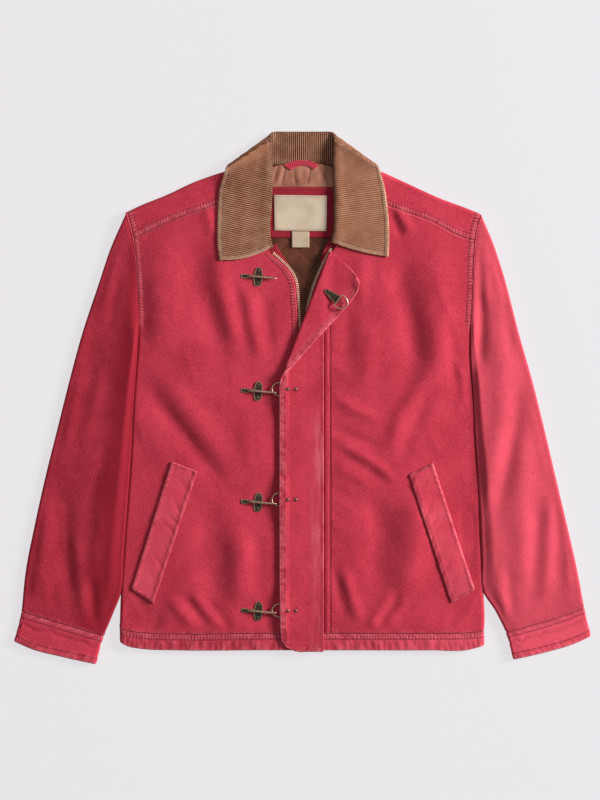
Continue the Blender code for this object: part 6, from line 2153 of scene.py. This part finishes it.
class Hardware(Assembly):
    """Four hooked clasps, four D-rings with their plates, and their rivets."""

    CLASP_X = -66 * MM
    CLASP_YS = (181, 10, -156, -319)
    CLASP_TILT = math.radians(-2.5)
    # A clasp plate: thickness, width of its rim, depth of its field; then the same of a ring plate
    PLATE = (1.0 * MM, 1.0 * MM, 0.45 * MM)
    RING_PLATE = (0.8 * MM, 0.9 * MM, 0.2 * MM)
    # x, y and radius of the rivets of a clasp plate, and the height of their heads
    CLASP_RIVETS: Rows = ((0.2, 9.2, 1.5), (-0.2, -9.4, 1.6), (-20.5, 0, 1.2))
    CLASP_RIVET_HEIGHT = 0.75 * MM
    # Inner radius, outer radius and half length of the knuckle round a ring's bar
    KNUCKLE = (1.2 * MM, 1.95 * MM, 6.1 * MM)
    # Outline of a clasp plate around its middle, counterclockwise
    CLASP_OUTLINE: Rows = ((-25.9, 0), (-25.8, -2.4), (-25.0, -3.2), (-23, -3.3), (-16, -3.1), (-14.2, -2.2),
                           (-10.0, -2.1), (-7.0, -3.4), (-6.6, -7.0), (-6.0, -11.0), (-4.6, -13.8),
                           (-1.6, -14.6), (1.6, -14.2), (4.0, -12.4), (5.4, -8.0), (6.2, -4.0), (6.5, -1.2),
                           (6.5, 1.2), (6.2, 5.0), (5.4, 9.4), (3.6, 12.8), (0.4, 14.6), (-2.8, 13.6),
                           (-4.8, 10.2), (-5.8, 6.0), (-6.8, 3.4), (-10.0, 2.2), (-14.2, 2.3), (-16, 3.2),
                           (-23, 3.4), (-25.0, 3.3), (-25.8, 2.5))
    LEVER: Rows = ((-16.5, 1.0, 1.9, 1.5), (-12, 0.6, 2.9, 2.1), (-7, 0.2, 3.8, 2.2), (0, -0.2, 4.7, 1.9),
                   (8, -0.6, 5.2, 1.7), (16, -1.0, 5.2, 1.45), (22, -1.2, 4.9, 1.3), (26, -1.3, 4.3, 1.2))
    HOOK: Rows = ((-3, -1.2, 1.9, 1.1), (4, -1.6, 1.9, 1.1), (10, -1.2, 2.6, 1.1), (14.5, -0.4, 3.2, 1.05),
                  (17.5, 0.5, 3.3, 1.25))
    RING_X = -29.5 * MM
    RING_YS = (13, -152, -318)
    RING_BAR = 20.4 * MM
    RING_DEPTH = 16 * MM
    WIRE = 1.05 * MM
    OPEN_RING = (53 * MM, 146 * MM)
    OPEN_RING_ANGLE = math.radians(-38.5)
    # Outline of a ring plate, its bar at x = 0, counterclockwise
    TAIL: Rows = ((-24.5, 0), (-24, -2.2), (-22, -3.2), (-16, -4.4), (-8, -5.8), (-2, -6.3), (0.2, -6.2),
                  (0.4, 0), (0.2, 6.2), (-2, 6.3), (-8, 5.8), (-16, 4.4), (-22, 3.2), (-24, 2.2))
    RIVET_OFFSETS = (7.5 * MM, 19.5 * MM)

    def add(self, name: str, part: Forge, seat: Matrix, finish: str, nodes: Iterable[str],
            worn: Callable[[Vector], float], body: str = JACKET) -> None:
        """Make a metal part at its seat.

        Args:
            name: the piece's name.
            part: the part.
            seat: where it goes.
            finish: its finish.
            nodes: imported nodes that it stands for.
            worn: how rubbed it is at a point of its own place.
            body: the body that it rides on.
        """
        made = self.bench.finish_mesh(part.mesh(name, seat, worn), name, finish, nodes, body)
        made.data.set_sharp_from_angle(angle=math.radians(38))

    @staticmethod
    def route(rows: Rows, count: int) -> tuple[np.ndarray, np.ndarray]:
        """Smooth route and radii through rows of x, y, z and radius in millimetres, its ends rounded."""
        line = smooth_line(rows, np.linspace(0, 1, count))
        ahead = unit(np.gradient(line[:, :3], axis=0))
        radii = line[:, 3]
        caps = [(line[end, :3] + sign * ahead[end] * radii[end] * math.sin(angle),
                 radii[end] * math.cos(angle))
                for end, sign in ((0, -1), (-1, 1)) for angle in np.radians((35, 65, 84))]
        first, last = caps[:3][::-1], caps[3:]
        return (np.array([place for place, _ in first] + list(line[:, :3]) + [place for place, _ in last]),
                np.array([radius for _, radius in first] + list(radii) + [radius for _, radius in last]))

    @staticmethod
    def dome(radius: float, height: float) -> Forge:
        """A rivet head on z = 0."""
        profile = [(radius * math.cos(a), 0.0, height * math.sin(a))
                   for a in np.radians((0, 25, 45, 65, 80, 90))]
        return Forge().turned(profile, (0, 0, 1), 14)

    def clasp(self, number: int, place_y: float) -> None:
        """Build one clasp: a rimmed plate of three lobes, its rivets, the hook and the lever over it."""
        seat = seat_at(self.CLASP_X, place_y * MM, float(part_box(f"clasp_{number}_plate")[0][2]),
                       self.CLASP_TILT)
        outline = closed_outline(self.CLASP_OUTLINE, 84)
        thick, _, sunk = self.PLATE
        self.add(f"clasp_plate_{number}", Forge().plate(outline, *self.PLATE), seat, "old_brass",
                 [f"clasp_{number}_plate"], lambda co: (co.z / thick - 0.6) * 2.5)
        for index, (x, y, radius) in enumerate(self.CLASP_RIVETS, start=1):
            spot = seat @ seat_at(x * MM, y * MM, thick - sunk)
            head = self.dome(radius * MM, self.CLASP_RIVET_HEIGHT)
            self.add(f"clasp_rivet_{number}_{index}", head, spot, "old_brass", (),
                     lambda co: co.z / MM)
        self.add(f"clasp_hook_{number}", Forge().rod(*self.route(self.HOOK, 16)), seat, "old_brass",
                 [f"clasp_{number}_hook"], lambda co: 0.5)
        self.add(f"clasp_lever_{number}", Forge().rod(*self.route(self.LEVER, 30)), seat, "rubbed_brass",
                 [f"clasp_{number}_tongue"], lambda co: 0.55 + 0.02 * co.x / MM)

    def ring(self, number: int, x: float, y: float, angle: float) -> None:
        """Build a D-ring, its plate with the knuckle round the bar, and the rivets."""
        low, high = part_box(f"ring_{number}")
        turn = np.linspace(-math.pi / 2, math.pi / 2, 36)
        bow = np.stack((self.RING_DEPTH * np.cos(turn) ** 0.8, self.RING_BAR / 2 * np.sin(turn), 0 * turn),
                       axis=1)
        bar = np.stack((np.zeros(8), np.linspace(0.9, -0.9, 8) * self.RING_BAR / 2, np.zeros(8)), axis=1)
        wire = Forge().rod(np.concatenate((bow, bar)), np.full(44, self.WIRE), sides=10, closed=True)
        self.add(f"d_ring_{number}", wire, seat_at(x, y, float(low[2] + high[2]) / 2, angle), "rubbed_brass",
                 [f"ring_{number}"], lambda co: 0.6, OPEN_RING if number == 1 else JACKET)
        seat = seat_at(x, y, float(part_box(f"ring_plate_{number}")[0][2]), angle)
        self.add(f"d_ring_plate_{number}", Forge().plate(closed_outline(self.TAIL, 56), *self.RING_PLATE),
                 seat,
                 "old_brass", [f"ring_plate_{number}"], lambda co: (co.z / MM - 0.6) * 4)
        inner, outer, half = self.KNUCKLE
        profile = ((inner, -half, 0), (outer, -half, 0), (outer, half, 0), (inner, half, 0),
                   (inner, -half, 0))
        self.add(f"d_ring_knuckle_{number}", Forge().turned(profile, (0, 1, 0), 20),
                 seat @ seat_at(0, 0, outer),
                 "old_brass", (), lambda co: 0.5 + co.z / outer)
        for letter, offset in zip("ab", self.RIVET_OFFSETS):
            node = f"rivet_{number}{letter}"
            spot = seat_at(x - offset * math.cos(angle), y - offset * math.sin(angle),
                           float(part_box(node)[0][2]))
            head = self.dome(1.5 * MM, 0.5 * MM) if number == 1 else self.dome(2.8 * MM, 1.3 * MM)
            rub = 0.0 if number == 1 else 0.6
            self.add(f"rivet_head_{number}{letter}", head, spot, "old_brass" if number == 1 else "copper",
                     [node],
                     lambda co, rub=rub: rub * co.z / MM)

    def build(self) -> None:
        """Build all the metal."""
        for number, place_y in enumerate(self.CLASP_YS, start=1):
            self.clasp(number, place_y)
        for number, place_y in enumerate(self.RING_YS, start=2):
            self.ring(number, self.RING_X, place_y * MM, math.pi)
        self.ring(1, *self.OPEN_RING, self.OPEN_RING_ANGLE)


# ---------------------------------------------------------------- studio

@dataclass(frozen=True)
class Lamp:
    """A soft area light: its place, what it looks at, its size and its power."""

    name: str
    place: tuple[float, float, float]
    aim: tuple[float, float, float]
    size: float
    power: float
    tint: Colour = (1.0, 1.0, 1.0)

    def hang(self) -> None:
        """Add the light."""
        light = bpy.data.lights.new(self.name, "AREA")
        light.shape = "SQUARE"
        light.size = self.size
        light.energy = self.power
        light.color = self.tint
        made = bpy.data.objects.new(self.name, light)
        made.location = self.place
        made.rotation_euler = (Vector(self.place) - Vector(self.aim)).to_track_quat("Z", "Y").to_euler()
        bpy.context.scene.collection.objects.link(made)


@dataclass(frozen=True)
class Studio:
    """Camera over the jacket, pale floor and plain soft light."""

    camera_height: float = 4.0
    lens: float = 120.0
    centre: tuple[float, float] = (-3.75 * MM, -3.3 * MM)
    lamps: tuple[Lamp, ...] = (
        Lamp("key", (5.4, 1.65, 2.6), (0.0, 0.0, 0.0), 1.8, 742.0, (1.0, 0.99, 0.975)),
        Lamp("top", (-0.5, 0.5, 2.6), (0.0, 0.0, 0.0), 2.4, 14.0, (0.97, 0.98, 1.0)),
    )

    def camera(self) -> None:
        """Add the camera, straight over the jacket."""
        lens = bpy.data.cameras.new("camera")
        lens.lens = self.lens
        lens.sensor_width = 36.0
        lens.clip_end = 20.0
        made = bpy.data.objects.new("camera", lens)
        made.location = (*self.centre, self.camera_height)
        bpy.context.scene.collection.objects.link(made)
        bpy.context.scene.camera = made

    def floor(self) -> None:
        """Add the pale floor, which the light hardly changes."""
        bm = bmesh.new()
        bmesh.ops.create_grid(bm, x_segments=1, y_segments=1, size=20.0)
        mesh = bpy.data.meshes.new("floor")
        bm.to_mesh(mesh)
        bm.free()
        shop = Shop("pale_floor")
        grain = shop.noise(shop.place(), 300, 2)
        mesh.materials.append(shop.dress(Base_Color=shop.mix(grain, (0.10, 0.098, 0.10), (0.11, 0.108, 0.11)),
                                         Roughness=0.9,
                                         Emission_Color=(0.80, 0.775, 0.80, 1.0), Emission_Strength=0.895,
                                         Specular_IOR_Level=0.1))
        made = bpy.data.objects.new("floor", mesh)
        made.location = (0.0, 0.0, -0.2 * MM)
        bpy.context.scene.collection.objects.link(made)

    def light(self) -> None:
        """Add the lights, the sky's soft fill and the plain way of showing colours."""
        for lamp in self.lamps:
            lamp.hang()
        world = bpy.data.worlds.new("studio")
        world.use_nodes = True
        sky = world.node_tree.nodes["Background"]
        sky.inputs["Color"].default_value = (0.97, 0.98, 1.0, 1.0)
        sky.inputs["Strength"].default_value = 0.16
        scene = bpy.context.scene
        scene.world = world
        scene.view_settings.view_transform = "Standard"

    def build(self) -> None:
        """Build the whole studio."""
        self.camera()
        self.floor()
        self.light()


# ---------------------------------------------------------------- the whole jacket

def main() -> None:
    """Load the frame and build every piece."""
    logging.basicConfig(level=logging.INFO, format="%(message)s")
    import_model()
    Studio().build()
    bench = Bench(Finishes().make())
    for part in (Bodice(bench), Sleeves(bench), Collar(bench), StormFlap(bench), Pockets(bench), Zip(bench),
                 NeckInside(bench), Hardware(bench)):
        count = len(bench.made)
        part.build()
        LOG.info("%s: %s", type(part).__name__, ", ".join(bench.made[count:]))
    bench.stitch()


if __name__ == "__main__":
    main()
